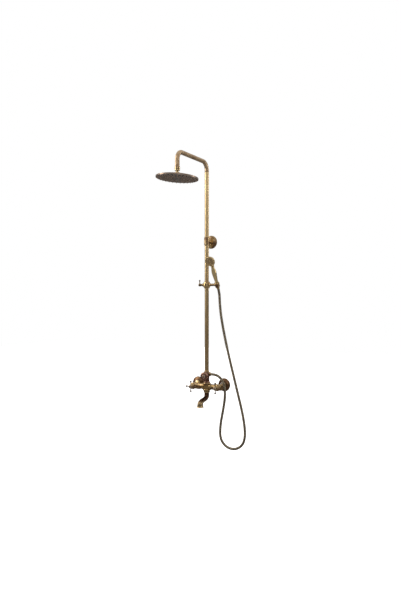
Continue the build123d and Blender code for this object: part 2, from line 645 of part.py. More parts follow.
with BuildPart() as handset_head:
    with BuildSketch(Plane(FACE.origin, x_dir=FACE.x_dir, z_dir=-FACE.y_dir)):
        with BuildLine():
            Polyline((0, -9.0), (8.0, -9.0), (16.0, -6.0), (22.0, 1.0), (24.0, 7.0),
                     (HAND_R, 8.5), (HAND_R, FACE_OUT), (HAND_R - 2.5, FACE_OUT),
                     (HAND_R - 2.5, 8.5), (20.0, 2.0), (15.0, -4.0), (8.0, -7.0), (0, -7.0),
                     close=True)
        make_face()
    revolve(axis=Axis(FACE.origin, FACE.z_dir))
    with BuildSketch(HAND.offset(HANDLE_TOP)):
        Circle(7.4)
    extrude(amount=16.0)
    with BuildSketch(HAND.offset(HANDLE_TOP)):
        Circle(4.0)
    extrude(amount=18.0, mode=Mode.SUBTRACT)
save(handset_head, "handset_head")

HAND_RINGS = ((6, 6), (12, 12), (18, 18))
with BuildPart() as handset_face:
    with BuildSketch(FACE.offset(FACE_OUT - 2.4)):
        Circle(HAND_R - 2.5)
        for ring_r, count in HAND_RINGS:
            with PolarLocations(ring_r, count):
                Circle(1.1, mode=Mode.SUBTRACT)
    extrude(amount=2.0)
save(handset_face, "handset_face")

with BuildPart() as handset_mat:
    with BuildSketch(FACE.offset(FACE_OUT - 4.0)):
        Circle(HAND_R - 2.5)
        Circle(3.0, mode=Mode.SUBTRACT)
    extrude(amount=1.6)
    with BuildSketch(FACE.offset(FACE_OUT - 2.4)):
        for ring_r, count in HAND_RINGS:
            with PolarLocations(ring_r, count):
                Circle(1.05)
    extrude(amount=3.4)
save(handset_mat, "handset_mat")

# ---- spout -------------------------------------------------------------------------------
SPOUT_R = 12.3            # upright part of the spout, outside radius
SEAT = SPOUT_TOP - 1.0    # top of the spout's shoulder
MOUTH_Y = RISER_Y - 66.0
MOUTH_TOP = -92.0         # where the bell begins
MOUTH_Z = -104.0          # lower edge of the bell
BELL_R = 17.5
# Sections of the swan-neck: distance in front of the riser axis, height, slope, radius.
NECK = (
    (0.0, -50.0, 0.0, 12.3), (4.5, -61.0, 44.0, 12.1), (18.0, -69.0, 70.0, 11.9),
    (36.0, -74.5, 72.0, 11.9), (53.0, -80.0, 52.0, 12.8),
)


def neck_plane(out, height, slope):
    """A section plane of the swan-neck: its normal points down, turned forward by a slope."""
    down = Plane((0, RISER_Y - out, height), x_dir=(1, 0, 0), z_dir=(0, 0, -1))
    return down.rotated((-slope, 0, 0))


def swan_neck(thinner):
    """The spout's neck as one smooth loft, with every radius reduced by a wall."""
    with BuildPart() as neck:
        for out, height, slope, radius in NECK:
            with BuildSketch(neck_plane(out, height, slope)):
                Circle(radius - thinner)
        with BuildSketch(Plane((0, MOUTH_Y, MOUTH_TOP), x_dir=(1, 0, 0), z_dir=(0, 0, -1))):
            Circle(14.4 - thinner)
        loft()
    return neck


outer_neck = swan_neck(0.0)
inner_neck = swan_neck(2.4)
MOUTH = Plane((0, MOUTH_Y, 0), x_dir=(1, 0, 0), z_dir=(0, 0, 1))

shank = tube(UP, SPOUT_R, 6.5, -50.0, SEAT)
shoulder = tube(UP, 13.8, 6.5, SEAT - 2.5, SEAT)
spigot = tube(UP, CENTRE_BORE - RUN, 6.5, SEAT, SEAT + 9.0)
bell = turned(MOUTH, [
    (12.0, MOUTH_TOP), (14.4, MOUTH_TOP), (15.0, -98.0), (BELL_R, MOUTH_Z),
    (BELL_R - 2.0, MOUTH_Z), (12.0, -99.5)])

with BuildPart() as spout:
    add(outer_neck.part)
    add(inner_neck.part, mode=Mode.SUBTRACT)
    for section in (shank, shoulder, spigot, bell):
        add(section.part)
save(spout, "spout")

spout_nut = turned(UP, [
    (14.1, SPOUT_TOP), (16.0, SPOUT_TOP), (16.0, SPOUT_TOP - 8.0), (14.5, SPOUT_TOP - 10.0),
    (SPOUT_R + 0.1, SPOUT_TOP - 10.0), (SPOUT_R + 0.1, SPOUT_TOP - 4.0),
    (14.1, SPOUT_TOP - 4.0)])
save(spout_nut, "spout_nut")

aerator_housing = tube(MOUTH, 12.0, 9.0, -100.0, MOUTH_TOP)
save(aerator_housing, "aerator_housing")

with BuildPart() as aerator_screen:
    with BuildSketch(MOUTH.offset(-98.5)):
        Circle(9.0)
        with GridLocations(3.0, 3.0, 5, 5):
            Rectangle(2.1, 2.1, mode=Mode.SUBTRACT)
    extrude(amount=3.0)
save(aerator_screen, "aerator_screen")

# ---- seals -------------------------------------------------------------------------------
riser_ring = tube(UP, PIPE_BORE, 8.2, TOWER_TOP - 3.9, TOWER_TOP - 2.1)
save(riser_ring, "riser_oring")

# ---- hose --------------------------------------------------------------------------------
route = [Vector(*point) for point in HOSE_ROUTE]
runs = [b - a for a, b in zip(route, route[1:])]
bends = []
for before, after in zip(runs, runs[1:]):
    half_turn = before.get_angle(after) / 2
    shorter = min(before.length, after.length)
    bends.append(0.45 * shorter / math.tan(math.radians(half_turn)))
print("hose bend radii", [round(bend) for bend in bends])

with BuildPart() as hose:
    with BuildLine() as line:
        FilletPolyline(*route, radius=bends)
    with BuildSketch(Plane(route[0], z_dir=runs[0])):
        Circle(HOSE_R)
    sweep()
hose_length = sum(edge.length for edge in line.line.edges())
print("hose length", round(hose_length), "volume ratio",
      round(hose.part.volume / (hose_length * math.pi * HOSE_R ** 2), 4))
save(hose, "hose")
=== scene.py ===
import json
import math

import bmesh
import bpy
import numpy as np
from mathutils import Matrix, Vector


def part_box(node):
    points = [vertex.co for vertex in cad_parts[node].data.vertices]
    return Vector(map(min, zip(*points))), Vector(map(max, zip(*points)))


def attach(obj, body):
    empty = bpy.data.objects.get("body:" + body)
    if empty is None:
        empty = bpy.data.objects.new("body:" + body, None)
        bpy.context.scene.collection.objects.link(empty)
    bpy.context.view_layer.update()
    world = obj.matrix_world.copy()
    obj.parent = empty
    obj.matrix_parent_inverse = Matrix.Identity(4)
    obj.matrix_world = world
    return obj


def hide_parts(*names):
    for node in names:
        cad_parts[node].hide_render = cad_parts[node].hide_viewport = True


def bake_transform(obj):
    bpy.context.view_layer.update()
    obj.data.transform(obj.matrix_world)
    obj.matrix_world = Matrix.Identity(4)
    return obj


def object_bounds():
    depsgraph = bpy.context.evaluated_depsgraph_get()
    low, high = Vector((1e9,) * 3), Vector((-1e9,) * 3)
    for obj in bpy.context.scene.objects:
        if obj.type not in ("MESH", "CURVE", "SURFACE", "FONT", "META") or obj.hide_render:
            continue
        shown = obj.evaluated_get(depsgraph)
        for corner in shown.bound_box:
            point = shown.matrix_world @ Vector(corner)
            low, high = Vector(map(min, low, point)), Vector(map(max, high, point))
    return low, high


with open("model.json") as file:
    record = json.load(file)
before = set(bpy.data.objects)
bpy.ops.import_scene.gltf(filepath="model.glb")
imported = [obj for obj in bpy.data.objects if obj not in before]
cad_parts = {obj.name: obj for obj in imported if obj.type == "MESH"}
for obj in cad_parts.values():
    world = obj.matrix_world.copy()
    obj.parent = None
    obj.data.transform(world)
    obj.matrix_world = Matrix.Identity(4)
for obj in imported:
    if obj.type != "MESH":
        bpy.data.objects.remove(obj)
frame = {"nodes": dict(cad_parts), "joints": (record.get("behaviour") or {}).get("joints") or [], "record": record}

# An antique brass shower column.  Places are in metres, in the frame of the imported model:
# X along the wall, Y into the wall, Z up.  Outlines are in millimetres, as (radius, height)
# along their axis, and MM turns them into metres.

CAD_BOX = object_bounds()
MM = 0.001
TURN = 2.0 * math.pi

# ---- places, read from the frame ---------------------------------------------------------


def middle(node):
    """The centre of a node's box."""
    low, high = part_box(node)
    return (np.array(low) + np.array(high)) / 2.0


def lowest(node):
    """The height of a node's lowest point."""
    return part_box(node)[0][2]


def highest(node):
    """The height of a node's highest point."""
    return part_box(node)[1][2]


def pivot(joint_name):
    """The place of a joint's axis."""
    return np.array(next(j["pos_m"] for j in frame["joints"] if j["name"] == joint_name))


ACROSS = np.array((1.0, 0.0, 0.0))
OUTWARD = np.array((0.0, -1.0, 0.0))      # from the wall into the room
UPWARD = np.array((0.0, 0.0, 1.0))

RISER = middle("riser_pipe") * (1, 1, 0)  # foot of the riser's axis, at inlet height
RISER_R = (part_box("riser_pipe")[1][0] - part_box("riser_pipe")[0][0]) / 2.0
BALL = pivot("head_turn")
HEAD_LEAN, LEAN_TOWARDS = math.radians(4.0), math.radians(30.0)
HEAD_UP = np.array((math.cos(LEAN_TOWARDS) * math.sin(HEAD_LEAN),
                    math.sin(LEAN_TOWARDS) * math.sin(HEAD_LEAN), math.cos(HEAD_LEAN)))
HOLDER = pivot("handset_turn")
HAND_LEAN = math.radians(29.0)
HAND_UP = np.array((0.0, -math.sin(HAND_LEAN), math.cos(HAND_LEAN)))
HAND_FRONT = np.array((0.0, -math.cos(HAND_LEAN), -math.sin(HAND_LEAN)))
SLIDER = np.array((RISER[0], RISER[1], HOLDER[2]))
KNOB = pivot("diverter_turn") * (1, 0, 1) + RISER * (0, 1, 0)
MIXER = RISER + UPWARD * pivot("hot_turn")[2]
BRACKET = np.array((RISER[0], 0.0, middle("bracket_plate")[2]))
TOWER_TOP = highest("diverter_housing")
HUB_TOP = lowest("diverter_housing")

# ---- surfaces ----------------------------------------------------------------------------
# A shell is (points, faces, wear): wear is +1 on sharp outer edges and -1 in recesses.


def soft_corners(outline, softness, closed, steps=4):
    """Each corner of an outline is replaced by a short parabola between two points on its
    legs, a softness away from the corner or 0.4 of the leg, whichever is less."""
    corners = np.array(outline, float)
    before = np.roll(corners, 1, axis=0) - corners
    after = np.roll(corners, -1, axis=0) - corners
    reach_back = np.linalg.norm(before, axis=1, keepdims=True) + 1e-12
    reach_on = np.linalg.norm(after, axis=1, keepdims=True) + 1e-12
    enter = corners + before / reach_back * np.minimum(softness, 0.4 * reach_back)
    leave = corners + after / reach_on * np.minimum(softness, 0.4 * reach_on)
    t = np.linspace(0.0, 1.0, steps + 1)[None, :, None]
    arcs = ((1 - t) ** 2 * enter[:, None] + 2 * t * (1 - t) * corners[:, None]
            + t ** 2 * leave[:, None])
    if closed:
        return arcs.reshape(-1, 2)
    inner = arcs[1:-1].reshape(-1, 2)
    return np.concatenate([corners[:1], inner, corners[-1:]])


def edge_wear(line, closed):
    """Signed curvature of an outline, positive where the solid's edge is convex, scaled so
    that a bend of half a millimetre gives about one, then spread over its neighbours."""
    step = np.roll(line, -1, axis=0) - line
    back = line - np.roll(line, 1, axis=0)
    cross = back[:, 0] * step[:, 1] - back[:, 1] * step[:, 0]
    dot = (back * step).sum(axis=1)
    length = np.linalg.norm(step, axis=1) + np.linalg.norm(back, axis=1) + 1e-9
    bend = np.arctan2(cross, dot) / length * 2.0
    area = (line[:, 0] * np.roll(line[:, 1], -1) - np.roll(line[:, 0], -1) * line[:, 1]).sum()
    bend = np.clip(bend * math.copysign(1.0, area) * 0.6 * MM, -1.0, 1.0)
    if not closed:
        bend[[0, -1]] = 0.0
    return 0.25 * np.roll(bend, 1) + 0.5 * bend + 0.25 * np.roll(bend, -1)


def grid_faces(rows, columns, wrap_rows, wrap_columns):
    """Quads of a grid numbered row by row; a wrapped direction joins its end to its start."""
    row = np.arange(rows if wrap_rows else rows - 1)
    column = np.arange(columns if wrap_columns else columns - 1)
    a, b = np.meshgrid(row, column, indexing="ij")
    a_next, b_next = (a + 1) % rows, (b + 1) % columns
    quads = [a * columns + b, a * columns + b_next, a_next * columns + b_next,
             a_next * columns + b]
    return np.stack(quads, axis=-1).reshape(-1, 4)


def cross_axes(axis):
    """Two unit vectors square to an axis and to each other."""
    helper = ACROSS if abs(axis[0]) < 0.9 else UPWARD
    first = np.cross(axis, helper)
    first /= np.linalg.norm(first)
    return first, np.cross(axis, first)


def turned(origin, axis, outline, soft=0.5, around=72, shape=None, arc=None):
    """An outline of (radius, height) in millimetres, with softened corners, carried round an
    axis: point = origin + height * axis + radius * (cos t, sin t) in the crossing plane.
    shape(t, radius, height) may change the radius, and arc limits t to part of a turn."""
    closed = outline[0][0] > 0
    line = soft_corners(outline, soft, closed)
    bend = edge_wear(line * MM, closed)
    first, second = cross_axes(axis)
    if arc:
        t = np.linspace(arc[0], arc[1], around)
    else:
        t = np.arange(around) * TURN / around
    radius = np.repeat(line[:, :1], around, axis=1)
    height = np.repeat(line[:, 1:], around, axis=1)
    t = np.repeat(t[None, :], len(line), axis=0)
    if shape:
        radius = shape(t, radius, height)
    flat = radius[..., None] * (np.cos(t)[..., None] * first + np.sin(t)[..., None] * second)
    points = np.array(origin) + MM * (height[..., None] * axis + flat)
    faces = grid_faces(len(line), around, closed, arc is None).tolist()
    if arc:
        rows = np.arange(len(line)) * around
        faces += [rows.tolist(), (rows + around - 1)[::-1].tolist()]
    return points.reshape(-1, 3), faces, np.repeat(bend, around)


def mirrored(half):
    """Half an outline, from its low end to its middle, and its mirror image above it."""
    return half + [(radius, -height) for radius, height in reversed(half)]


def ball(centre, radius, around=24):
    """A sphere: a half circle carried round the upright axis."""
    turn = np.linspace(-math.pi / 2, math.pi / 2, around // 2 + 1)
    line = np.stack([np.cos(turn) * radius, np.sin(turn) * radius], axis=1)
    line[[0, -1], 0] = 0.0
    return turned(centre, UPWARD, line, soft=0.0, around=around)


def carried(path, radius, flat_normal, around=48):
    """A ring carried along a path: point = path(s) + radius(s, t) * (cos t side + sin t up),
    where side is square to the path and to flat_normal.  radius is rows of rings."""
    path = np.array(path)
    along = np.gradient(path, axis=0)
    along /= np.linalg.norm(along, axis=1, keepdims=True)
    side = np.cross(along, flat_normal)
    side /= np.linalg.norm(side, axis=1, keepdims=True)
    up = np.cross(side, along)
    t = np.arange(around) * TURN / around
    ring = (np.cos(t)[None, :, None] * side[:, None] + np.sin(t)[None, :, None] * up[:, None])
    return path[:, None] + radius[..., None] * ring


def hollow_tube(path, outer, inner, flat_normal, around=48):
    """Two carried rings, the outside from start to end and the bore back again, joined at
    both ends into one closed wall.  outer and inner are in metres, one value or one row."""
    count = len(path)
    wide = np.broadcast_to(np.asarray(outer), (count, around))
    bore = np.broadcast_to(np.asarray(inner), (count, around))
    wall = np.concatenate([carried(path, wide, flat_normal, around),
                           carried(path, bore, flat_normal, around)[::-1]])
    faces = grid_faces(len(wall), around, True, True).tolist()
    return wall.reshape(-1, 3), faces, np.zeros(wall.shape[0] * around)


def straight(start, end, count=2):
    """Points along a straight line."""
    return np.linspace(np.array(start), np.array(end), count)


# ---- shapes that change a turned radius --------------------------------------------------


def hexagon(flats, chamfer, low, high):
    """Hexagonal nut: the radius is that of a hexagon, cut down by a cone at either end."""
    def shape(t, radius, height):
        flat = flats / 2 / np.cos((t + math.pi / 6) % (math.pi / 3) - math.pi / 6)
        rim = flats / 2 + 0.2 + 1.8 * np.minimum(height - low, high - height) / chamfer
        outside = np.minimum(flat, np.maximum(rim, flats / 2 - 0.5))
        return np.where(radius > flats / 2 - 0.6, outside, radius)
    return shape


def fluted(count, depth, low, high, inner=0.0):
    """Flutes: between two heights the radius dips by a depth, count times round, as the
    square of a sine, and fades out at both ends."""
    def shape(t, radius, height):
        share = np.clip((height - low) / (high - low), 0.0, 1.0)
        fade = np.sin(math.pi * share) ** 0.5
        dip = np.sin(count * t / 2.0) ** 2
        return np.where(radius > inner, radius - depth * fade * dip, radius)
    return shape


# ---- making pieces -----------------------------------------------------------------------


def piece(name, shells, body, slot, finish, *nodes):
    """One object of several shells, smooth, with its wear as a point attribute.  Points that
    meet at seams and poles are merged, and every shell's faces are turned outwards."""
    points, faces, wear, start = [], [], [], 0
    for shell_points, shell_faces, shell_wear in shells:
        points.append(shell_points)
        faces += [[corner + start for corner in face] for face in shell_faces]
        wear.append(shell_wear)
        start += len(shell_points)
    mesh = bpy.data.meshes.new(name)
    mesh.from_pydata(np.concatenate(points).tolist(), [], faces)
    mesh.attributes.new("wear", "FLOAT", "POINT")
    mesh.attributes["wear"].data.foreach_set("value", np.concatenate(wear).astype(np.float32))
    work = bmesh.new()
    work.from_mesh(mesh)
    bmesh.ops.remove_doubles(work, verts=work.verts, dist=1e-7)
    bmesh.ops.dissolve_degenerate(work, edges=work.edges, dist=1e-8)
    bmesh.ops.recalc_face_normals(work, faces=work.faces)
    work.to_mesh(mesh)
    work.free()
    mesh.polygons.foreach_set("use_smooth", np.ones(len(mesh.polygons), bool))
    thing = bpy.data.objects.new(name, mesh)
    bpy.context.scene.collection.objects.link(thing)
    mesh.materials.append(finish)
    if body:
        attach(thing, body)
    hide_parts(*nodes)
    return thing


# ---- finishes ----------------------------------------------------------------------------


class Nodes:
    """A short way to wire a material: add a node, set its inputs, link its outputs."""

    def __init__(self, name):
        self.material = bpy.data.materials.new(name)
        self.material.use_nodes = True
        self.tree = self.material.node_tree
        self.shader = self.tree.nodes["Principled BSDF"]
        self.place = self.add("ShaderNodeTexCoord").outputs["Object"]

    def add(self, kind, **settings):
        node = self.tree.nodes.new(kind)
        for key, value in settings.items():
            setattr(node, key, value)
        return node

    def join(self, source, target):
        self.tree.links.new(source, target)

    def noise(self, scale, detail=4.0, rough=0.55, stretch=(1, 1, 1)):
        """Noise on the object's own coordinates, stretched by a mapping."""
        mapping = self.add("ShaderNodeMapping")
        mapping.inputs["Scale"].default_value = stretch
        self.join(self.place, mapping.inputs["Vector"])
        texture = self.add("ShaderNodeTexNoise")
        texture.inputs["Scale"].default_value = scale
        texture.inputs["Detail"].default_value = detail
        texture.inputs["Roughness"].default_value = rough
        self.join(mapping.outputs["Vector"], texture.inputs["Vector"])
        return texture.outputs["Fac"]

    def span(self, value, low, high, to_low=0.0, to_high=1.0):
        """A value stretched from one range to another, and held at its ends."""
        node = self.add("ShaderNodeMapRange")
        for key, number in (("From Min", low), ("From Max", high), ("To Min", to_low),
                            ("To Max", to_high)):
            node.inputs[key].default_value = number
        self.join(value, node.inputs["Value"])
        return node.outputs["Result"]

    def attribute(self, name):
        return self.add("ShaderNodeAttribute", attribute_name=name).outputs["Fac"]

    def mix(self, factor, first, second):
        """Two colours mixed by a factor; each is a socket or a plain colour."""
        node = self.add("ShaderNodeMix", data_type="RGBA")
        self.join(factor, node.inputs["Factor"])
        for colour, key in ((first, "A"), (second, "B")):
            target = [s for s in node.inputs if s.name == key and s.type == "RGBA"][0]
            if isinstance(colour, tuple):
                target.default_value = (*colour, 1.0)
            else:
                self.join(colour, target)
        return [s for s in node.outputs if s.type == "RGBA"][0]

    def height(self):
        """The height above the inlets, from the object's own coordinates."""
        parts = self.add("ShaderNodeSeparateXYZ")
        self.join(self.place, parts.inputs["Vector"])
        return parts.outputs["Z"]

    def facing_up(self):
        """How far a face turns to the sky: 1 on top, 0 on a wall, -1 underneath."""
        parts = self.add("ShaderNodeSeparateXYZ")
        self.join(self.add("ShaderNodeNewGeometry").outputs["Normal"], parts.inputs["Vector"])
        return parts.outputs["Z"]

    def bump(self, value, strength, distance):
        node = self.add("ShaderNodeBump")
        node.inputs["Strength"].default_value = strength
        node.inputs["Distance"].default_value = distance
        self.join(value, node.inputs["Height"])
        self.join(node.outputs["Normal"], self.shader.inputs["Normal"])

    def set(self, **values):
        for key, value in values.items():
            self.shader.inputs[key.replace("_", " ")].default_value = value


BRIGHT_GOLD = (0.80, 0.61, 0.33)
OLD_GOLD = (0.42, 0.27, 0.11)
RED_BROWN = (0.13, 0.052, 0.032)
NIGHT_BROWN = (0.024, 0.012, 0.008)


def aged_brass(name, light=BRIGHT_GOLD, base=OLD_GOLD, shade=RED_BROWN, tarnish=0.85,
               under=0.5, satin=0.2, grain=(1, 1, 1), low=0.0, high=1.1):
    """Antiqued brass: a painted light from base low down to light high up, red-brown in clouds,
    rubbed bright on edges, a painted highlight on tops and a painted shade nearly black on
    undersides (under sets how strong these two are), nearly black in recesses, under fine brushing."""
    n = Nodes(name)
    clouds = n.span(n.noise(24.0, 1.0), 0.42, 0.58)
    fine = n.span(n.noise(420.0, 3.0, 0.6), 0.4, 0.7)
    # Painted light: darker towards the bottom and brighter towards the top, graded by height from base to light.
    aloft = n.span(n.height(), low, high)
    painted_height_light = n.mix(aloft, base, light)
    toned = n.mix(n.span(clouds, 0.0, 1.0, 0.0, tarnish), painted_height_light, shade)
    speckled = n.mix(n.span(fine, 0.5, 1.0, 0.0, 0.18), toned, shade)
    upward = n.facing_up()
    # A painted highlight on faces turned up and a painted shade in NIGHT_BROWN on faces turned down, both as
    # strong as under.
    crowned = n.mix(n.span(upward, 0.1, 0.8, 0.0, under), speckled, light)
    shaded = n.mix(n.span(upward, -0.1, -0.8, 0.0, under), crowned, NIGHT_BROWN)
    rubbed = n.mix(n.span(n.attribute("wear"), 0.05, 0.5, 0.0, 0.7), shaded, light)
    recessed = n.mix(n.span(n.attribute("wear"), -0.03, -0.45, 0.0, 0.95), rubbed,
                     NIGHT_BROWN)
    n.join(recessed, n.shader.inputs["Base Color"])
    brushed = n.noise(900.0, 2.0, 0.6, grain)
    rough = n.span(clouds, 0.0, 1.0, satin, satin + 0.12)
    n.join(rough, n.shader.inputs["Roughness"])
    n.bump(brushed, 0.04, 0.0001)
    n.set(Metallic=1.0)
    return n.material


def dark_bronze(name, brown=(0.30, 0.19, 0.125), dark=(0.15, 0.09, 0.06)):
    """Bronze with a brown patina, black in recesses and rubbed to a pale grey on edges."""
    n = Nodes(name)
    clouds = n.span(n.noise(34.0, 5.0), 0.36, 0.66)
    patina = n.mix(clouds, brown, dark)
    rubbed = n.mix(n.span(n.attribute("wear"), 0.05, 0.4, 0.0, 0.85), patina,
                   (0.70, 0.62, 0.54))
    recessed = n.mix(n.span(n.attribute("wear"), -0.03, -0.4, 0.0, 0.9), rubbed,
                     (0.02, 0.012, 0.008))
    n.join(recessed, n.shader.inputs["Base Color"])
    n.join(n.span(clouds, 0.0, 1.0, 0.26, 0.44), n.shader.inputs["Roughness"])
    n.bump(n.noise(700.0, 2.0), 0.1, 0.0002)
    n.set(Metallic=1.0)
    return n.material


def hose_metal(name):
    """Spiral-wound strip in dark gunmetal: the ridges catch light, the seams are black."""
    n = Nodes(name)
    smoky = n.span(n.noise(60.0, 4.0), 0.35, 0.68)
    strip = n.mix(smoky, (0.26, 0.215, 0.15), (0.12, 0.098, 0.07))
    ridge = n.mix(n.span(n.attribute("wear"), 0.3, 1.0, 0.0, 0.5), strip, (0.40, 0.35, 0.26))
    seam = n.mix(n.span(n.attribute("wear"), -0.1, -0.9, 0.0, 0.95), ridge,
                 (0.015, 0.012, 0.01))
    n.join(seam, n.shader.inputs["Base Color"])
    n.join(n.span(smoky, 0.0, 1.0, 0.28, 0.42), n.shader.inputs["Roughness"])
    n.bump(n.noise(800.0, 2.0), 0.1, 0.0001)
    n.set(Metallic=1.0)
    return n.material


def machined(name, colour, rough):
    """Bare machined metal with fine turning marks."""
    n = Nodes(name)
    marks = n.span(n.noise(500.0, 3.0, 0.6, (1, 1, 4)), 0.35, 0.7)
    duller = tuple(channel * 0.72 for channel in colour)
    n.join(n.mix(marks, colour, duller), n.shader.inputs["Base Color"])
    n.join(n.span(marks, 0.0, 1.0, rough, rough + 0.12), n.shader.inputs["Roughness"])
    n.bump(marks, 0.1, 0.0001)
    n.set(Metallic=1.0)
    return n.material


def moulded(name, colour, rough):
    """Moulded plastic or rubber with a fine even skin and faint mottling."""
    n = Nodes(name)
    skin = n.noise(900.0, 2.0)
    mottle = n.span(n.noise(90.0, 3.0), 0.3, 0.7)
    darker = tuple(channel * 0.8 for channel in colour)
    n.join(n.mix(mottle, colour, darker), n.shader.inputs["Base Color"])
    n.join(n.span(mottle, 0.0, 1.0, rough, rough + 0.1), n.shader.inputs["Roughness"])
    n.bump(skin, 0.15, 0.0001)
    return n.material


BRASS = aged_brass("aged_brass")               # castings, rings, nuts and covers
# The riser's painted light: darker towards the bottom and brighter towards the top, graded from 0.2 to 1.02 m.
PIPE_BRASS = aged_brass("pipe_brass", base=(0.24, 0.155, 0.08), tarnish=0.12, satin=0.34,
                        grain=(6, 6, 0.4), low=0.2, high=1.02)
ARM_BRASS = aged_brass("arm_brass", light=(0.60, 0.44, 0.27), base=(0.44, 0.30, 0.17),
                       tarnish=0.45, under=0.35, satin=0.3)
ROSE_BRASS = aged_brass("rose_brass", light=(0.36, 0.23, 0.12), base=(0.15, 0.08, 0.04),
                        tarnish=0.6, satin=0.32)
TOWER_BRASS = aged_brass("tower_brass", light=(0.60, 0.40, 0.30), base=(0.23, 0.11, 0.075),
                         tarnish=0.5)
HAND_BRASS = aged_brass("hand_brass", base=(0.50, 0.39, 0.19), tarnish=0.2, under=0.1)
# The spout's colours are the other way round: bright in the bell, dark from the bend up.
SPOUT_BRASS = aged_brass("spout_brass", light=(0.10, 0.055, 0.03), base=BRIGHT_GOLD,
                         tarnish=0.2, under=0.1, low=-0.086, high=-0.070)
CROSS_BRASS = aged_brass("cross_brass", light=(0.30, 0.22, 0.12), base=(0.075, 0.05, 0.03),
                         tarnish=0.5)
BRONZE = dark_bronze("dark_bronze")
PLATE_BRONZE = dark_bronze("plate_bronze", (0.14, 0.085, 0.06), (0.05, 0.03, 0.02))
HOSE_METAL = hose_metal("hose_metal")
RAW_BRASS = machined("raw_brass", (0.66, 0.48, 0.23), 0.22)
STEEL = machined("steel", (0.58, 0.57, 0.55), 0.25)
PLASTIC = moulded("white_plastic", (0.82, 0.81, 0.77), 0.35)
RUBBER = moulded("dark_rubber", (0.028, 0.026, 0.024), 0.55)
SILICONE = moulded("brown_silicone", (0.44, 0.29, 0.20), 0.4)

FINISH_OF_SLOT = {"aged_brass": BRASS, "dark_bronze": BRONZE, "hose_metal": HOSE_METAL,
                  "raw_brass": RAW_BRASS, "steel": STEEL, "white_plastic": PLASTIC,
                  "dark_rubber": RUBBER}

# The parts that no piece replaces take the finish of their slot.
for part in frame["record"]["subparts"]:
    node = frame["nodes"][part["node"]]
    node.data.materials.clear()
    node.data.materials.append(FINISH_OF_SLOT[part["material_slot"]])

# ---- camera ------------------------------------------------------------------------------
VIEW_AZIMUTH = math.radians(30.0)
CAMERA_PLACE = (1.4545, -2.6305, 0.4254)
FOCAL, SENSOR_HEIGHT = 35.2, 36.0

camera_data = bpy.data.cameras.new("camera")
camera_data.sensor_fit = "VERTICAL"
camera_data.sensor_height = SENSOR_HEIGHT
camera_data.lens = FOCAL
camera = bpy.data.objects.new("camera", camera_data)
camera.location = CAMERA_PLACE
camera.rotation_euler = (math.pi / 2, 0.0, VIEW_AZIMUTH)
bpy.context.scene.collection.objects.link(camera)
bpy.context.scene.camera = camera

# ---- hose --------------------------------------------------------------------------------
# From the tower's outlet, down in one loop and up into the hand shower's conical nut.
HOSE_ROUTE = (
    (0.024, -0.048, 0.055), (0.054, -0.048, 0.055), (0.082, -0.049, 0.0385),
    (0.101, -0.050, 0.006), (0.106, -0.050, -0.050), (0.094, -0.049, -0.118),
    (0.077, -0.048, -0.196), (0.076, -0.048, -0.265), (0.116, -0.048, -0.305),
    (0.172, -0.047, -0.305), (0.213, -0.045, -0.263), (0.208, -0.042, -0.165),
    (0.153, -0.032, 0.016), (0.099, -0.025, 0.203), (0.069, -0.023, 0.338),
    (0.060, -0.0225, 0.418), (0.060, -0.0242, 0.46105), (0.060, -0.0372, 0.4845),
)
HOSE_R = 6.5 * MM
WIND_PITCH = 4.0 * MM
SEAM_DEPTH = 0.7 * MM
RINGS_PER_WIND = 8


def spline_points(route):
    """The points of a smooth spline whose control points are the route."""
    curve = bpy.data.curves.new("hose_line", "CURVE")
    curve.dimensions = "3D"
    curve.resolution_u = 24
    spline = curve.splines.new("NURBS")
    spline.points.add(len(route) - 1)
    spline.points.foreach_set("co", np.array([(*point, 1.0) for point in route]).ravel())
    spline.order_u = 3
    spline.use_endpoint_u = True
    holder = bpy.data.objects.new("hose_line", curve)
    mesh = bpy.data.meshes.new_from_object(holder)
    points = np.empty(len(mesh.vertices) * 3)
    mesh.vertices.foreach_get("co", points)
    bpy.data.objects.remove(holder)
    bpy.data.meshes.remove(mesh)
    return points.reshape(-1, 3)


def spiral_hose(path):
    """A tube whose radius dips along a helix: with s the length along the hose and t the
    turn, the dip is the eighth power of the cosine of half the winding's phase."""
    gaps = np.linalg.norm(np.diff(path, axis=0), axis=1)
    along = np.concatenate([[0.0], np.cumsum(gaps)])
    keep = np.concatenate([[True], gaps > 1e-9])
    path, along = path[keep], along[keep]
    rings = int(along[-1] / WIND_PITCH * RINGS_PER_WIND)
    s = np.linspace(0.0, along[-1], rings)
    line = np.stack([np.interp(s, along, path[:, axis]) for axis in range(3)], axis=1)
    around = 24
    t = np.arange(around) * TURN / around
    phase = TURN * s[:, None] / WIND_PITCH - t[None, :]
    seam = np.cos(phase / 2.0) ** 8
    points = carried(line, HOSE_R - SEAM_DEPTH * seam, np.array((0.0, 1.0, 0.0)), around)
    faces = grid_faces(rings, around, False, True).tolist()
    ends = np.arange(around)
    faces += [ends[::-1].tolist(), (ends + (rings - 1) * around).tolist()]
    return points.reshape(-1, 3), faces, (0.6 - 1.6 * seam).ravel()


hose_path = spline_points(HOSE_ROUTE)
hose = piece("shower_hose", [spiral_hose(hose_path)], None, "hose_metal", HOSE_METAL, "hose")
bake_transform(hose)

# ---- riser and arm -----------------------------------------------------------------------
WALL = 1.2 * MM
riser_low, riser_high = lowest("riser_pipe"), highest("riser_pipe")
riser = turned(RISER, UPWARD, [
    (9.3, riser_low / MM), (10.5, riser_low / MM), (10.5, riser_high / MM - 1.2),
    (10.15, riser_high / MM - 0.6), (10.15, riser_high / MM), (9.3, riser_high / MM)], 0.25)
piece("riser_tube", [riser], "root", "aged_brass", PIPE_BRASS, "riser_pipe")

ARM_BEND = 39.0 * MM
drop_y = BALL[1]
arm_top = highest("arm_pipe") - RISER_R


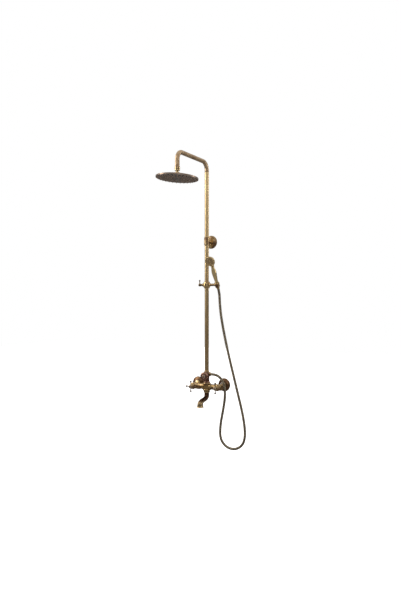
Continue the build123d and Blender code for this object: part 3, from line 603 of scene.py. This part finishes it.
def arm_line():
    """The arm's axis: up, a quarter turn outward, level, a quarter turn down, and down."""
    turn = np.linspace(0.0, math.pi / 2, 25)[:, None]
    rise_centre = np.array((0.0, RISER[1] - ARM_BEND, arm_top - ARM_BEND))
    fall_centre = np.array((0.0, drop_y + ARM_BEND, arm_top - ARM_BEND))
    rise = rise_centre + ARM_BEND * (np.sin(turn) * UPWARD - np.cos(turn) * OUTWARD)
    fall = fall_centre + ARM_BEND * (np.cos(turn) * UPWARD + np.sin(turn) * OUTWARD)
    foot = np.array((0.0, RISER[1], riser_high + 0.25 * MM))
    tip = np.array((0.0, drop_y, lowest("arm_pipe")))
    return np.concatenate([straight(foot, rise[0], 4)[:-1], rise,
                           straight(rise[-1], fall[0], 12)[1:-1], fall,
                           straight(fall[-1], tip, 6)[1:]])


arm = hollow_tube(arm_line(), RISER_R, RISER_R - WALL, ACROSS, 64)
piece("bent_arm", [arm], "root", "aged_brass", ARM_BRASS, "arm_pipe")

collar_low = lowest("riser_collar") / MM
collar = turned(RISER, UPWARD, [
    (10.5, collar_low), (13.2, collar_low), (13.2, collar_low + 1.2), (12.4, collar_low + 1.6),
    (12.4, collar_low + 3.4), (13.2, collar_low + 3.8), (13.2, collar_low + 5.0),
    (11.6, collar_low + 7.0), (10.5, collar_low + 7.0)], 0.4)
piece("riser_collar_ring", [collar], "root", "aged_brass", BRASS, "riser_collar")

# ---- wall flanges and unions -------------------------------------------------------------
INLET_X, VALVE_X = 75.0 * MM, 70.0 * MM    # either side of the riser
INLETS = [np.array((side * INLET_X, 0.0, 0.0)) for side in (-1, 1)]
VALVES = [np.array((side * VALVE_X, 0.0, MIXER[2])) for side in (-1, 1)]


def wall_flange(origin, hole, depth):
    """A spun flange: a beaded rim, a cove, a step, a crowned dome and a collar."""
    return turned(origin, OUTWARD, [
        (31.9, 0.0), (33.5, 0.0), (33.5, 2.2), (32.6, 3.4), (31.4, 3.6), (30.6, 5.0),
        (29.4, 6.4), (28.0, 7.0), (25.5, 8.6), (22.0, depth - 2.2), (18.0, depth - 0.9),
        (hole + 0.6, depth - 0.2), (hole, depth), (hole, depth - 1.6), (18.0, depth - 2.5),
        (21.5, depth - 3.8), (27.0, 5.8), (29.0, 4.2), (31.0, 2.0)], 0.9, 96)


piece("inlet_flanges", [wall_flange(place, 15.0, 13.0) for place in INLETS], "root",
      "aged_brass", ROSE_BRASS, "wall_flanges")
piece("bracket_rose", [wall_flange(BRACKET, 9.0, 12.0)], "root", "aged_brass", BRASS,
      "bracket_flange")

NUT_BACK, NUT_FRONT, NUT_FLATS = 17.6, 30.5, 27.0
nuts = [turned(place, OUTWARD, [
    (11.0, NUT_BACK), (15.4, NUT_BACK), (15.4, NUT_BACK + 1.0), (15.4, NUT_BACK + 3.0),
    (15.4, 24.0), (15.4, NUT_FRONT - 3.0), (15.4, NUT_FRONT - 1.0), (15.4, NUT_FRONT),
    (11.0, NUT_FRONT)], 0.5, 96, hexagon(NUT_FLATS, 2.4, NUT_BACK, NUT_FRONT))
    for place in VALVES]
piece("inlet_nuts", nuts, "root", "aged_brass", BRASS, "union_nuts")

# ---- mixer body --------------------------------------------------------------------------
OUT = -RISER[1] / MM                       # wall to the riser's axis
MOUTH_OF_VALVE = OUT + 19.0

barrel = turned(MIXER, ACROSS, mirrored([
    (0.0, -88.0), (9.0, -87.6), (13.2, -85.8), (15.6, -82.4), (16.0, -79.0), (16.0, -54.0),
    (15.2, -53.2), (15.2, -52.0), (14.4, -51.0), (14.0, -30.0), (14.4, -24.5), (15.6, -23.4),
    (15.6, -21.8), (14.8, -21.0)]), 0.9, 96)
hub_low, hub_high = lowest("mixer_body") / MM, HUB_TOP / MM
hub = turned(RISER, UPWARD, [
    (8.0, hub_low), (17.0, hub_low), (19.4, hub_low + 1.6), (20.0, hub_low + 4.0),
    (20.0, hub_low + 6.0), (19.0, hub_low + 7.2), (19.2, hub_low + 14.0),
    (19.6, hub_high - 12.0), (19.0, hub_high - 6.4), (20.0, hub_high - 5.0),
    (20.0, hub_high - 3.0), (18.2, hub_high), (8.0, hub_high)], 0.8, 96)


def valve_boss(place):
    """The rear inlet boss and the front valve boss of one valve, as two turned shells."""
    rear = turned(place, OUTWARD, [(7.0, 27.0), (10.9, 27.0), (10.9, 36.0), (7.0, 36.0)])
    front = turned(place, OUTWARD, [
        (9.0, 50.0), (15.0, 50.0), (15.0, MOUTH_OF_VALVE - 3.0), (14.3, MOUTH_OF_VALVE - 2.4),
        (14.3, MOUTH_OF_VALVE - 1.4), (15.2, MOUTH_OF_VALVE - 0.8), (15.2, MOUTH_OF_VALVE),
        (9.0, MOUTH_OF_VALVE)], 0.4, 96)
    return [rear, front]


body_shells = [barrel, hub]
for place in VALVES:
    body_shells += valve_boss(place)
piece("mixer_casting", body_shells, "root", "aged_brass", BRASS, "mixer_body")

# ---- valves and cross handles ------------------------------------------------------------
HANDLE_OUT = -pivot("hot_turn")[1] / MM
HUB_BACK, HUB_FRONT = HANDLE_OUT - 8.5, HANDLE_OUT + 8.0
SPOKE_REACH, TIP_R = 24.0, 4.8             # spoke tip's centre and radius

bonnets = [turned(place, OUTWARD, [
    (9.0, MOUTH_OF_VALVE), (16.5, MOUTH_OF_VALVE), (16.5, MOUTH_OF_VALVE + 2.2),
    (15.6, MOUTH_OF_VALVE + 3.0), (13.8, MOUTH_OF_VALVE + 3.6), (13.4, MOUTH_OF_VALVE + 5.0),
    (12.8, MOUTH_OF_VALVE + 7.2), (10.6, MOUTH_OF_VALVE + 9.4), (9.5, MOUTH_OF_VALVE + 10.4),
    (9.5, HUB_BACK - 1.0), (4.3, HUB_BACK - 1.0), (4.3, MOUTH_OF_VALVE + 6.0),
    (9.0, MOUTH_OF_VALVE + 6.0)], 0.5, 96)
    for place in VALVES]
piece("valve_covers", bonnets, "root", "aged_brass", BRASS, "valve_bonnets")


def spoke(centre, way):
    """One spoke: a collared foot, a slim waist, a bead, and a ball tip."""
    stem = turned(centre, way, [
        (0.0, 9.0), (3.6, 9.0), (3.6, 10.6), (2.5, 11.4), (2.0, 13.5), (2.0, 16.2), (3.0, 16.9),
        (3.0, 17.9), (2.1, 18.6), (2.1, 21.0), (0.0, 21.0)], 0.35, 32)
    tip = ball(centre + way * SPOKE_REACH * MM, TIP_R, 32)
    return [stem, tip]


def cross_handle(name, place):
    """A cross handle: turned hub, four ball-ended spokes and a domed cap."""
    body = f"{name}_handle"
    hub_shell = turned(place, OUTWARD, [
        (4.0, HUB_BACK), (9.0, HUB_BACK), (9.0, HUB_BACK + 1.0), (8.0, HUB_BACK + 1.8),
        (7.2, HUB_BACK + 2.8), (8.6, HANDLE_OUT - 4.8), (10.0, HANDLE_OUT - 3.9),
        (10.0, HANDLE_OUT + 3.9), (8.8, HANDLE_OUT + 4.8),
        (8.8, HUB_FRONT - 0.8), (8.2, HUB_FRONT), (7.0, HUB_FRONT), (7.0, HUB_FRONT - 4.0),
        (4.0, HUB_FRONT - 4.0)], 0.5, 72)
    piece(f"{name}_boss", [hub_shell], body, "aged_brass", BRASS, f"{name}_hub")
    centre = place + OUTWARD * HANDLE_OUT * MM
    arms = []
    for way in (ACROSS, UPWARD, -ACROSS, -UPWARD):
        arms += spoke(centre, way)
    piece(f"{name}_arms", arms, body, "aged_brass", CROSS_BRASS, f"{name}_spokes")
    cap = turned(place, OUTWARD, [
        (0.0, HUB_FRONT - 4.0), (7.0, HUB_FRONT - 4.0), (7.0, HUB_FRONT + 0.2),
        (6.2, HUB_FRONT + 0.9), (5.6, HUB_FRONT + 0.7), (5.2, HUB_FRONT + 1.0),
        (3.0, HUB_FRONT + 1.8), (0.0, HUB_FRONT + 2.0)], 0.3, 48)
    piece(f"{name}_button", [cap], body, "dark_bronze", BRONZE, f"{name}_cap")


cross_handle("hot", VALVES[0])
cross_handle("cold", VALVES[1])

# ---- diverter tower ----------------------------------------------------------------------
tower_low, tower_high = HUB_TOP / MM, TOWER_TOP / MM
tower = turned(RISER, UPWARD, [
    (8.0, tower_low), (16.5, tower_low), (16.5, tower_low + 3.0), (15.2, tower_low + 4.4),
    (14.0, tower_low + 5.4), (13.4, tower_low + 8.0), (13.4, tower_high - 26.0),
    (14.0, tower_high - 24.0), (14.0, tower_high - 4.4), (13.0, tower_high - 3.6),
    (13.0, tower_high - 2.6), (14.0, tower_high - 1.8), (14.0, tower_high), (9.3, tower_high),
    (9.3, tower_high - 5.0), (8.0, tower_high - 5.0)], 0.5, 96)
snout = turned(KNOB, OUTWARD, [
    (8.0, 9.0), (12.0, 9.0), (12.0, 15.5), (8.0, 15.5)], 0.4, 72)
OUTLET = np.array((RISER[0], RISER[1], middle("hose_nut")[2]))
nozzle = turned(OUTLET, ACROSS, [
    (4.0, 8.0), (8.2, 8.0), (8.2, 15.0), (6.4, 15.0), (6.4, 22.0), (4.0, 22.0)], 0.3, 48)
piece("tower_casting", [tower, snout, nozzle], "root", "aged_brass", TOWER_BRASS,
      "diverter_housing")

bonnet_ring = turned(KNOB, OUTWARD, [
    (3.8, 15.5), (13.0, 15.5), (13.0, 17.2), (11.2, 18.4), (3.8, 18.4)], 0.4, 72)
piece("knob_ring", [bonnet_ring], "root", "aged_brass", BRASS, "diverter_bonnet")

knob = turned(KNOB, OUTWARD, [
    (3.5, 19.0), (20.6, 19.0), (22.4, 20.2), (23.0, 22.4), (23.0, 26.0), (22.6, 28.4),
    (21.0, 30.6), (18.0, 32.2), (14.0, 32.8), (11.0, 32.9), (10.4, 33.6), (9.4, 34.0),
    (8.0, 34.0), (8.0, 31.0), (3.5, 31.0)], 0.8, 200, fluted(10, 2.4, 18.8, 33.4, 15.0))
piece("fluted_knob", [knob], "diverter", "aged_brass", TOWER_BRASS, "diverter_knob")
knob_cap = turned(KNOB, OUTWARD, [
    (0.0, 31.0), (8.0, 31.0), (8.0, 34.2), (7.0, 34.9), (6.2, 34.7), (3.4, 35.6),
    (0.0, 36.0)], 0.3, 48)
piece("knob_button", [knob_cap], "diverter", "dark_bronze", BRONZE, "diverter_cap")

hose_nut = turned(OUTLET, ACROSS, [
    (6.4, 15.0), (9.6, 15.0), (9.6, 16.2), (9.6, 17.4), (9.6, 19.6), (9.6, 20.8), (9.6, 22.0),
    (8.2, 22.2), (8.2, 24.0), (4.0, 24.0), (4.0, 22.0), (6.4, 22.0)], 0.3, 96,
    hexagon(17.0, 1.6, 15.0, 22.0))
piece("tower_hose_nut", [hose_nut], "root", "aged_brass", BRASS, "hose_nut")

# ---- rain head ---------------------------------------------------------------------------
end_nut_low = lowest("arm_nut") / MM
arm_nut = turned(RISER * (1, 0, 0) + np.array((0.0, drop_y, 0.0)), UPWARD, [
    (6.05, end_nut_low), (10.5, end_nut_low), (12.5, end_nut_low + 2.0),
    (12.5, end_nut_low + 6.0), (11.6, end_nut_low + 6.8), (11.6, end_nut_low + 8.2),
    (12.5, end_nut_low + 9.0), (12.5, end_nut_low + 17.2), (11.6, end_nut_low + 19.0),
    (10.5, end_nut_low + 19.0), (10.5, end_nut_low + 11.0), (6.05, end_nut_low + 11.0)],
    0.5, 96)
piece("arm_end_nut", [arm_nut], "root", "aged_brass", BRASS, "arm_nut")

ball_shell = ball(BALL, 9.5, 64)
neck = turned(BALL, UPWARD, [(3.5, 6.0), (6.0, 6.0), (6.0, 24.0), (3.5, 24.0)], 0.3, 48)
piece("head_ball", [ball_shell, neck], "swivel", "raw_brass", RAW_BRASS, "swivel_ball")

head_nut = turned(BALL, HEAD_UP, [
    (8.6, 4.6), (8.6, 7.0), (11.3, 7.0), (12.6, 5.8), (13.8, 4.0), (13.8, -5.0), (13.2, -6.0),
    (12.4, -6.0), (12.4, 1.0), (9.9, 1.0), (9.9, 4.6)], 0.4, 160,
    fluted(32, 0.7, -5.0, 4.0, 13.0))
piece("head_swivel_nut", [head_nut], "rain_head", "aged_brass", BRASS, "head_nut")

RIM_LOW = -23.0                            # the rim, below the ball's centre
shell = turned(BALL, HEAD_UP, [
    (5.0, -11.6), (5.0, -9.5), (9.9, -9.5), (9.9, 1.0), (12.4, 1.0), (12.4, -6.4),
    (14.5, -7.6), (17.0, -10.2), (22.0, -11.4), (40.0, -12.5), (60.0, -13.3), (80.0, -14.1),
    (92.0, -14.6), (94.0, -15.2), (96.0, -15.2), (98.6, -15.4), (99.8, -16.6), (100.0, -18.0),
    (99.6, -19.4), (100.0, -20.8), (100.0, -22.2), (99.4, RIM_LOW), (98.2, RIM_LOW),
    (98.2, -16.6), (80.0, -15.6), (40.0, -14.0), (17.0, -12.2)], 0.7, 144)
piece("head_dish", [shell], "rain_head", "dark_bronze", BRONZE, "head_shell")

RIB_COUNT, RIB_HEIGHT = 32, 1.4
PLATE_R, RIBS_START, RIBS_END = 98.1, 16.0, 97.0
RINGS_OF_NOZZLES = ((28, 8), (44, 16), (60, 32), (76, 32), (92, 32))   # radius, count


def ribbed_plate():
    """The spray plate: height = base - rib * fade(radius) * w ** 1.5 - a shallow crown, where
    w is half of one plus the cosine of the turn, ribs times round, closed by a flat back."""
    radius = np.concatenate([np.linspace(0.0, 96.5, 60), [97.6, 98.0, PLATE_R]])
    around = RIB_COUNT * 8
    t = np.arange(around) * TURN / around
    fade = (np.clip((radius - RIBS_START) / 14.0, 0.0, 1.0)
            * np.clip((RIBS_END - radius) / 3.0, 0.0, 1.0))
    wave = 0.5 + 0.5 * np.cos(RIB_COUNT * t)
    crown = 0.5 * np.cos(radius / 98.0 * math.pi / 2)
    ribs = RIB_HEIGHT * fade[:, None] * wave[None, :] ** 1.5
    under = RIM_LOW + 0.5 - ribs - crown[:, None]
    under[-2:] += 0.5
    back = np.full((1, around), RIM_LOW + 2.0)
    rise = np.concatenate([under, back, back])
    out = np.concatenate([radius, [PLATE_R], [0.0]])[:, None] * np.ones(around)
    first, second = cross_axes(HEAD_UP)
    ring = np.cos(t)[:, None] * first + np.sin(t)[:, None] * second
    points = BALL + MM * (rise[..., None] * HEAD_UP + out[..., None] * ring[None])
    depth = np.concatenate([1.3 * fade[:, None] * (wave[None, :] - 0.66), np.zeros((2, around))])
    faces = grid_faces(len(out), around, False, True).tolist()
    return points.reshape(-1, 3), faces, np.clip(depth, -0.5, 0.3).ravel()


piece("spray_plate", [ribbed_plate()], "rain_head", "dark_bronze", PLATE_BRONZE,
      "head_plate")


def nozzle_field(origin, axis, rings, height, outline, around):
    """One small turned nozzle copied to every place of concentric rings in a plane."""
    first, second = cross_axes(axis)
    points, faces, wear = turned(np.zeros(3), axis, outline, 0.2, around)
    places = []
    for radius, count in rings:
        t = np.arange(count) * TURN / count
        flat = np.cos(t)[:, None] * first + np.sin(t)[:, None] * second
        places.append(radius * MM * flat)
    places = np.concatenate(places) + np.array(origin) + height * MM * np.array(axis)
    field = places[:, None] + points[None]
    offsets = np.arange(len(places)) * len(points)
    numbered = [[corner + offset for corner in face] for offset in offsets for face in faces]
    return field.reshape(-1, 3), numbered, np.tile(wear, len(places))


rain_nozzles = nozzle_field(BALL, HEAD_UP, RINGS_OF_NOZZLES, RIM_LOW, [
    (0.0, 2.0), (2.2, 2.0), (2.2, -0.6), (1.9, -2.6), (1.4, -3.4), (0.7, -3.4), (0.6, -2.8),
    (0.0, -2.8)], 12)
piece("rain_nozzles", [rain_nozzles], "rain_head", "dark_rubber", SILICONE, "head_mat")

# ---- upper bracket -----------------------------------------------------------------------
END = -(highest("bracket_sleeve") - lowest("bracket_sleeve")) / 2.0 / MM
sleeve = turned(RISER + UPWARD * BRACKET[2], UPWARD, mirrored([
    (10.5, END), (12.3, END), (13.5, END + 1.4), (13.5, END + 3.4), (12.6, END + 4.2),
    (12.6, END + 5.2), (13.2, -14.0), (13.5, -6.0)]), 0.5, 96)
piece("bracket_collar", [sleeve], "root", "aged_brass", BRASS, "bracket_sleeve")
stub = turned(BRACKET, OUTWARD, [
    (0.0, 3.0), (9.0, 3.0), (9.0, 12.4), (8.4, 13.2), (8.0, 15.0), (8.0, 24.0), (8.6, 27.0),
    (9.0, 30.0), (9.0, OUT - 12.4), (0.0, OUT - 12.4)], 0.6, 72)
piece("bracket_stub", [stub], "root", "aged_brass", BRASS, "bracket_arm")

# ---- slider, lever and holder ------------------------------------------------------------
slider_shell = turned(SLIDER, UPWARD, mirrored([
    (12.5, -17.0), (13.6, -17.0), (14.4, -15.8), (14.4, -13.4), (15.4, -12.4), (16.6, -9.0),
    (17.0, -4.0)]), 0.5, 96)
bar_boss = turned(SLIDER, ACROSS, [
    (4.0, 13.6), (8.5, 13.6), (8.5, 19.6), (7.6, 21.0), (4.0, 21.0)], 0.4, 48)
screw_boss = turned(SLIDER, -ACROSS, [
    (4.05, 13.6), (8.5, 13.6), (8.5, 19.6), (7.6, 21.0), (4.05, 21.0)], 0.4, 48)
piece("slider_clamp", [slider_shell, bar_boss, screw_boss], "slider", "aged_brass", BRASS,
      "slider_body")
bar_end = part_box("slider_bar")[1][0] / MM
bar = turned(SLIDER, ACROSS, [
    (0.0, 14.0), (4.0, 14.0), (4.0, 21.0), (7.5, 21.0), (7.5, 23.0), (6.8, 24.2), (6.0, 26.0),
    (6.0, 31.0), (6.9, 32.6), (6.9, 34.0), (6.0, 35.6), (6.0, 41.0), (7.4, 43.4), (7.5, 46.6),
    (4.0, 46.6), (4.0, bar_end), (0.0, bar_end)], 0.5, 72)
piece("holder_bar", [bar], "slider", "aged_brass", BRASS, "slider_bar")

screw = turned(SLIDER, -ACROSS, [(0.0, 12.7), (4.0, 12.7), (4.0, 38.0), (0.0, 38.0)], 0.3, 32)
piece("clamp_screw", [screw], "lock", "raw_brass", RAW_BRASS, "lock_screw")
LEVER_OUT, LEVER_RISE, LEVER_BALL_R = 41.0, 22.0, 4.0
# The hub is a shell without a bore: it is open at the back, where the screw fills its mouth.
lever_hub = turned(SLIDER, -ACROSS, [
    (0.0, 38.0), (0.0, 46.5), (3.0, 46.4), (6.2, 45.4), (7.0, 44.0), (7.0, 36.6), (6.4, 35.0),
    (5.6, 33.4), (5.6, 28.0), (6.4, 25.6), (7.5, 24.4), (7.5, 22.0), (4.0, 22.0)], 0.4, 72)
lever_foot = SLIDER - ACROSS * LEVER_OUT * MM
lever_arm = turned(lever_foot, UPWARD, [
    (0.0, 4.0), (3.0, 4.0), (2.9, 7.0), (2.2, 9.0), (2.1, 15.0), (2.8, 16.6), (2.8, 17.6),
    (2.2, 18.6), (0.0, 19.0)], 0.4, 32)
lever_ball = ball(lever_foot + UPWARD * LEVER_RISE * MM, LEVER_BALL_R, 32)
piece("clamp_lever", [lever_hub, lever_arm, lever_ball], "lock", "aged_brass", CROSS_BRASS,
      "lock_lever")

SLOT_HALF = math.radians(34.0)             # half of the slot that the hose passes
first_axis, second_axis = cross_axes(HAND_UP)
slot_turn = math.atan2(float(ACROSS @ second_axis), float(ACROSS @ first_axis))
cup = turned(HOLDER, HAND_UP, [
    (8.8, -13.0), (11.4, -13.0), (12.1, -11.6), (12.1, -10.0), (11.7, -9.0), (12.2, -4.0),
    (12.2, 5.6), (12.9, 7.4), (12.9, 10.2), (12.3, 11.0), (10.7, 11.0)], 0.4, 72, None,
    (slot_turn + SLOT_HALF, slot_turn + TURN - SLOT_HALF))
cheek = turned(SLIDER, ACROSS, [
    (4.05, 47.0), (7.5, 47.0), (7.5, 49.4), (4.05, 49.4)], 0.3, 48)
piece("holder_fork", [cup, cheek], "holder", "aged_brass", BRASS, "holder_cup")

# ---- hand shower -------------------------------------------------------------------------
cone = turned(HOLDER, HAND_UP, [
    (4.0, -22.0), (7.0, -22.0), (7.6, -21.2), (7.9, -18.6), (7.5, -17.8), (7.6, -16.8),
    (8.2, -15.8), (10.2, 9.6), (10.4, 12.0), (4.0, 12.0)], 0.4, 72)
piece("hand_cone_nut", [cone], "hand_shower", "aged_brass", HAND_BRASS, "handset_nut")

HAND_LENGTH = 134.0                        # from the holder to the head's axis
HAND_FACE = HOLDER + HAND_UP * HAND_LENGTH * MM
handle = turned(HOLDER, HAND_UP, [
    (4.0, 12.0), (9.6, 12.0), (9.6, 14.4), (8.8, 15.4), (8.8, 16.4), (9.4, 17.4), (9.4, 18.8),
    (7.8, 20.2), (8.2, 26.0), (9.6, 40.0), (11.2, 56.0), (12.0, 68.0), (11.2, 78.0),
    (9.0, 88.0), (7.8, 95.0), (7.6, 98.6), (9.2, 100.4), (9.2, 102.0), (8.2, 102.8),
    (8.2, 103.8), (9.0, 104.6), (9.0, 106.0), (7.4, 108.0), (4.0, 108.0)], 1.0, 72)
piece("hand_grip", [handle], "hand_shower", "aged_brass", HAND_BRASS, "handset_handle")

hand_shell = turned(HAND_FACE, HAND_FRONT, [
    (0.0, -9.0), (3.0, -8.9), (8.0, -8.2), (14.0, -6.2), (19.0, -2.4), (22.2, 2.0),
    (23.6, 6.2), (23.6, 7.4), (25.5, 8.2), (25.5, 11.6), (24.6, 13.6), (23.4, 14.0),
    (23.0, 13.4), (23.0, 8.0), (20.0, 2.0), (15.0, -4.0), (8.0, -7.0), (0.0, -7.0)], 0.7, 96)
hand_neck = turned(HOLDER, HAND_UP, [
    (4.0, 108.0), (7.4, 108.0), (7.2, 111.0), (7.4, 116.0), (4.0, 116.0)], 0.4, 48)
piece("hand_head", [hand_shell, hand_neck], "hand_shower", "aged_brass", HAND_BRASS,
      "handset_head")
spray = turned(HAND_FACE, HAND_FRONT, [
    (0.0, 11.6), (23.0, 11.6), (23.0, 13.0), (21.6, 13.6), (20.8, 13.2), (15.4, 13.2),
    (15.0, 13.5), (14.6, 13.2), (9.4, 13.2), (9.0, 13.5), (8.6, 13.2), (3.6, 13.3),
    (2.4, 13.9), (0.0, 14.0)], 0.3, 96)
piece("hand_spray", [spray], "hand_shower", "aged_brass", HAND_BRASS, "handset_face")
HAND_RINGS = ((6, 6), (12, 12), (18, 18))
hand_nozzles = nozzle_field(HAND_FACE, HAND_FRONT, HAND_RINGS, 13.0, [
    (0.0, -1.0), (1.2, -1.0), (1.2, 0.8), (0.9, 1.8), (0.4, 2.0), (0.3, 1.6), (0.0, 1.6)], 12)
piece("hand_nozzles", [hand_nozzles], "hand_shower", "dark_rubber", SILICONE, "handset_mat")

# ---- spout -------------------------------------------------------------------------------
nut_low, nut_high = lowest("spout_nut") / MM, highest("spout_nut") / MM
ring_nut = turned(RISER, UPWARD, [
    (14.1, nut_high), (16.0, nut_high), (16.0, nut_high - 1.6), (15.4, nut_high - 2.2),
    (15.4, nut_low + 4.2), (16.0, nut_low + 3.4), (16.0, nut_low + 1.8), (14.6, nut_low),
    (12.4, nut_low), (12.4, nut_low + 6.0), (14.1, nut_low + 6.0)], 0.4, 96)
SEAT = nut_high - 1.0
piece("spout_ring_nut", [ring_nut], "root", "aged_brass", BRASS, "spout_nut")

SPOUT_TOP, BEND_TOP, BELL_TOP = SEAT * MM, -50.0 * MM, -92.0 * MM
SPOUT_REACH = 66.0 * MM
BELL_LIP = lowest("spout")
BELL_FLUTES, FLUTE_DEPTH = 12, 1.1


def swan_line():
    """The spout's axis: down, then a cubic curve that leaves and arrives upright, a reach
    further out, then down through the bell."""
    t = np.linspace(0.0, 1.0, 48)[:, None]
    start = np.array((0.0, RISER[1], BEND_TOP))
    end = np.array((0.0, RISER[1] - SPOUT_REACH, BELL_TOP))
    pull_down = start - UPWARD * 31.0 * MM
    pull_up = end + UPWARD * 30.0 * MM
    bend = ((1 - t) ** 3 * start + 3 * t * (1 - t) ** 2 * pull_down
            + 3 * t ** 2 * (1 - t) * pull_up + t ** 3 * end)
    top = np.array((0.0, RISER[1], SPOUT_TOP))
    lip = np.array((0.0, RISER[1] - SPOUT_REACH, BELL_LIP))
    return np.concatenate([straight(top, start, 6)[:-1], bend, straight(end, lip, 14)[1:]])


def swan_spout():
    """The spout: a ring carried along its axis, slimmer in the bend and belled at the mouth,
    with flutes that deepen towards the lip; the bore runs back inside it."""
    line = swan_line()
    steps = np.linalg.norm(np.diff(line, axis=0), axis=1)
    s = np.concatenate([[0.0], np.cumsum(steps)]) / steps.sum()
    around = BELL_FLUTES * 8
    radius = np.interp(s, (0.0, 0.18, 0.45, 0.7, 0.86, 0.93, 0.975, 1.0),
                       (12.3, 12.2, 11.7, 12.2, 14.2, 14.9, 16.6, 17.4))
    smooth = np.convolve(np.pad(radius, 2, mode="edge"), np.ones(5) / 5, mode="valid")
    fade = np.clip((s - 0.66) / 0.2, 0.0, 1.0) * np.clip((1.0 - s) / 0.03, 0.0, 1.0)
    t = np.arange(around) * TURN / around
    dip = np.sin(BELL_FLUTES * t / 2.0) ** 2
    outer = smooth[:, None] - FLUTE_DEPTH * fade[:, None] * dip[None, :]
    bore = np.minimum(smooth - 2.2, 12.0 + 40.0 * np.clip(s - 0.97, 0, 1))
    inner = np.repeat(bore[:, None], around, axis=1)
    points, faces, _ = hollow_tube(line, outer * MM, inner * MM, ACROSS, around)
    wear = np.concatenate([fade[:, None] * (0.35 - 0.9 * dip[None, :]), 0 * outer])
    return points, faces, wear.ravel()


shoulder = turned(RISER, UPWARD, [
    (6.5, SEAT - 2.5), (13.8, SEAT - 2.5), (13.8, SEAT - 0.2), (7.95, SEAT),
    (7.95, SEAT + 9.0), (6.5, SEAT + 9.0)], 0.3, 64)
piece("swan_spout", [swan_spout(), shoulder], "spout", "aged_brass", SPOUT_BRASS, "spout")

# ---- stage, world and lights -------------------------------------------------------------
FLOOR_Z = CAD_BOX[0][2] - 0.60             # well below, since the column hangs on a wall
REACH = 12.0
floor_mesh = bpy.data.meshes.new("studio_floor")
floor_mesh.from_pydata([(-REACH, -REACH, FLOOR_Z), (REACH, -REACH, FLOOR_Z),
                        (REACH, REACH, FLOOR_Z), (-REACH, REACH, FLOOR_Z)], [], [(0, 1, 2, 3)])
floor = bpy.data.objects.new("studio_floor", floor_mesh)
bpy.context.scene.collection.objects.link(floor)
# The floor glows as white as the backdrop, and doesn't light the brass from below.
pale = moulded("pale_floor", (0.95, 0.95, 0.95), 0.8)
glow = pale.node_tree.nodes["Principled BSDF"]
glow.inputs["Emission Color"].default_value = (1.0, 1.0, 1.0, 1.0)
glow.inputs["Emission Strength"].default_value = 1.0
floor.visible_glossy = False
floor.visible_diffuse = False
floor_mesh.materials.append(pale)

# The camera sees a white backdrop.  The brass reflects a room that is brighter above and
# below than at eye level: each band is (place from straight down to straight up, shade).
world = bpy.data.worlds.new("studio")
bpy.context.scene.world = world
world.use_nodes = True
sky = world.node_tree
backdrop = sky.nodes["Background"]
backdrop.inputs["Color"].default_value = (1.0, 1.0, 1.0, 1.0)
backdrop.inputs["Strength"].default_value = 1.0
room = sky.nodes.new("ShaderNodeBackground")
direction = sky.nodes.new("ShaderNodeTexCoord")
parts = sky.nodes.new("ShaderNodeSeparateXYZ")
ramp = sky.nodes.new("ShaderNodeValToRGB")
sky.links.new(direction.outputs["Generated"], parts.inputs["Vector"])
to_unit = sky.nodes.new("ShaderNodeMapRange")
to_unit.inputs["From Min"].default_value = -1.0
sky.links.new(parts.outputs["Z"], to_unit.inputs["Value"])
sky.links.new(to_unit.outputs["Result"], ramp.inputs["Fac"])
BANDS = ((0.0, 0.55), (0.36, 0.42), (0.47, 0.20), (0.56, 0.22), (0.68, 0.65), (1.0, 0.95))
while len(ramp.color_ramp.elements) < len(BANDS):
    ramp.color_ramp.elements.new(0.5)
for element, (where, shade) in zip(ramp.color_ramp.elements, BANDS):
    element.position = where
    element.color = (shade, shade * 0.97, shade * 0.94, 1.0)
sky.links.new(ramp.outputs["Color"], room.inputs["Color"])
room.inputs["Strength"].default_value = 0.8
seen = sky.nodes.new("ShaderNodeLightPath")
choice = sky.nodes.new("ShaderNodeMixShader")
sky.links.new(seen.outputs["Is Camera Ray"], choice.inputs["Fac"])
sky.links.new(room.outputs["Background"], choice.inputs[1])
sky.links.new(backdrop.outputs["Background"], choice.inputs[2])
sky.links.new(choice.outputs["Shader"], sky.nodes["World Output"].inputs["Surface"])


def soft_box(name, place, target, width, height, power, colour):
    """A rectangular soft light that faces a target."""
    light = bpy.data.lights.new(name, "AREA")
    light.shape = "RECTANGLE"
    light.size = width
    light.size_y = height
    light.energy = power
    light.color = colour
    lamp = bpy.data.objects.new(name, light)
    lamp.location = place
    aim = np.array(target) - np.array(place)
    yaw = math.atan2(aim[1], aim[0]) - math.pi / 2
    pitch = math.atan2(aim[2], math.hypot(aim[0], aim[1])) + math.pi / 2
    lamp.rotation_euler = (pitch, 0.0, yaw)
    bpy.context.scene.collection.objects.link(lamp)


AIM = (0.0, -0.1, 0.5)
soft_box("key", (-2.2, -1.6, 1.6), AIM, 0.8, 2.4, 42.0, (1.0, 0.97, 0.92))
soft_box("fill", (1.9, -2.6, 1.6), AIM, 0.35, 2.2, 9.0, (1.0, 0.97, 0.94))
soft_box("rim", (2.0, 1.2, 1.2), AIM, 0.5, 2.2, 14.0, (1.0, 0.98, 0.96))
bpy.context.scene.view_settings.view_transform = "Standard"
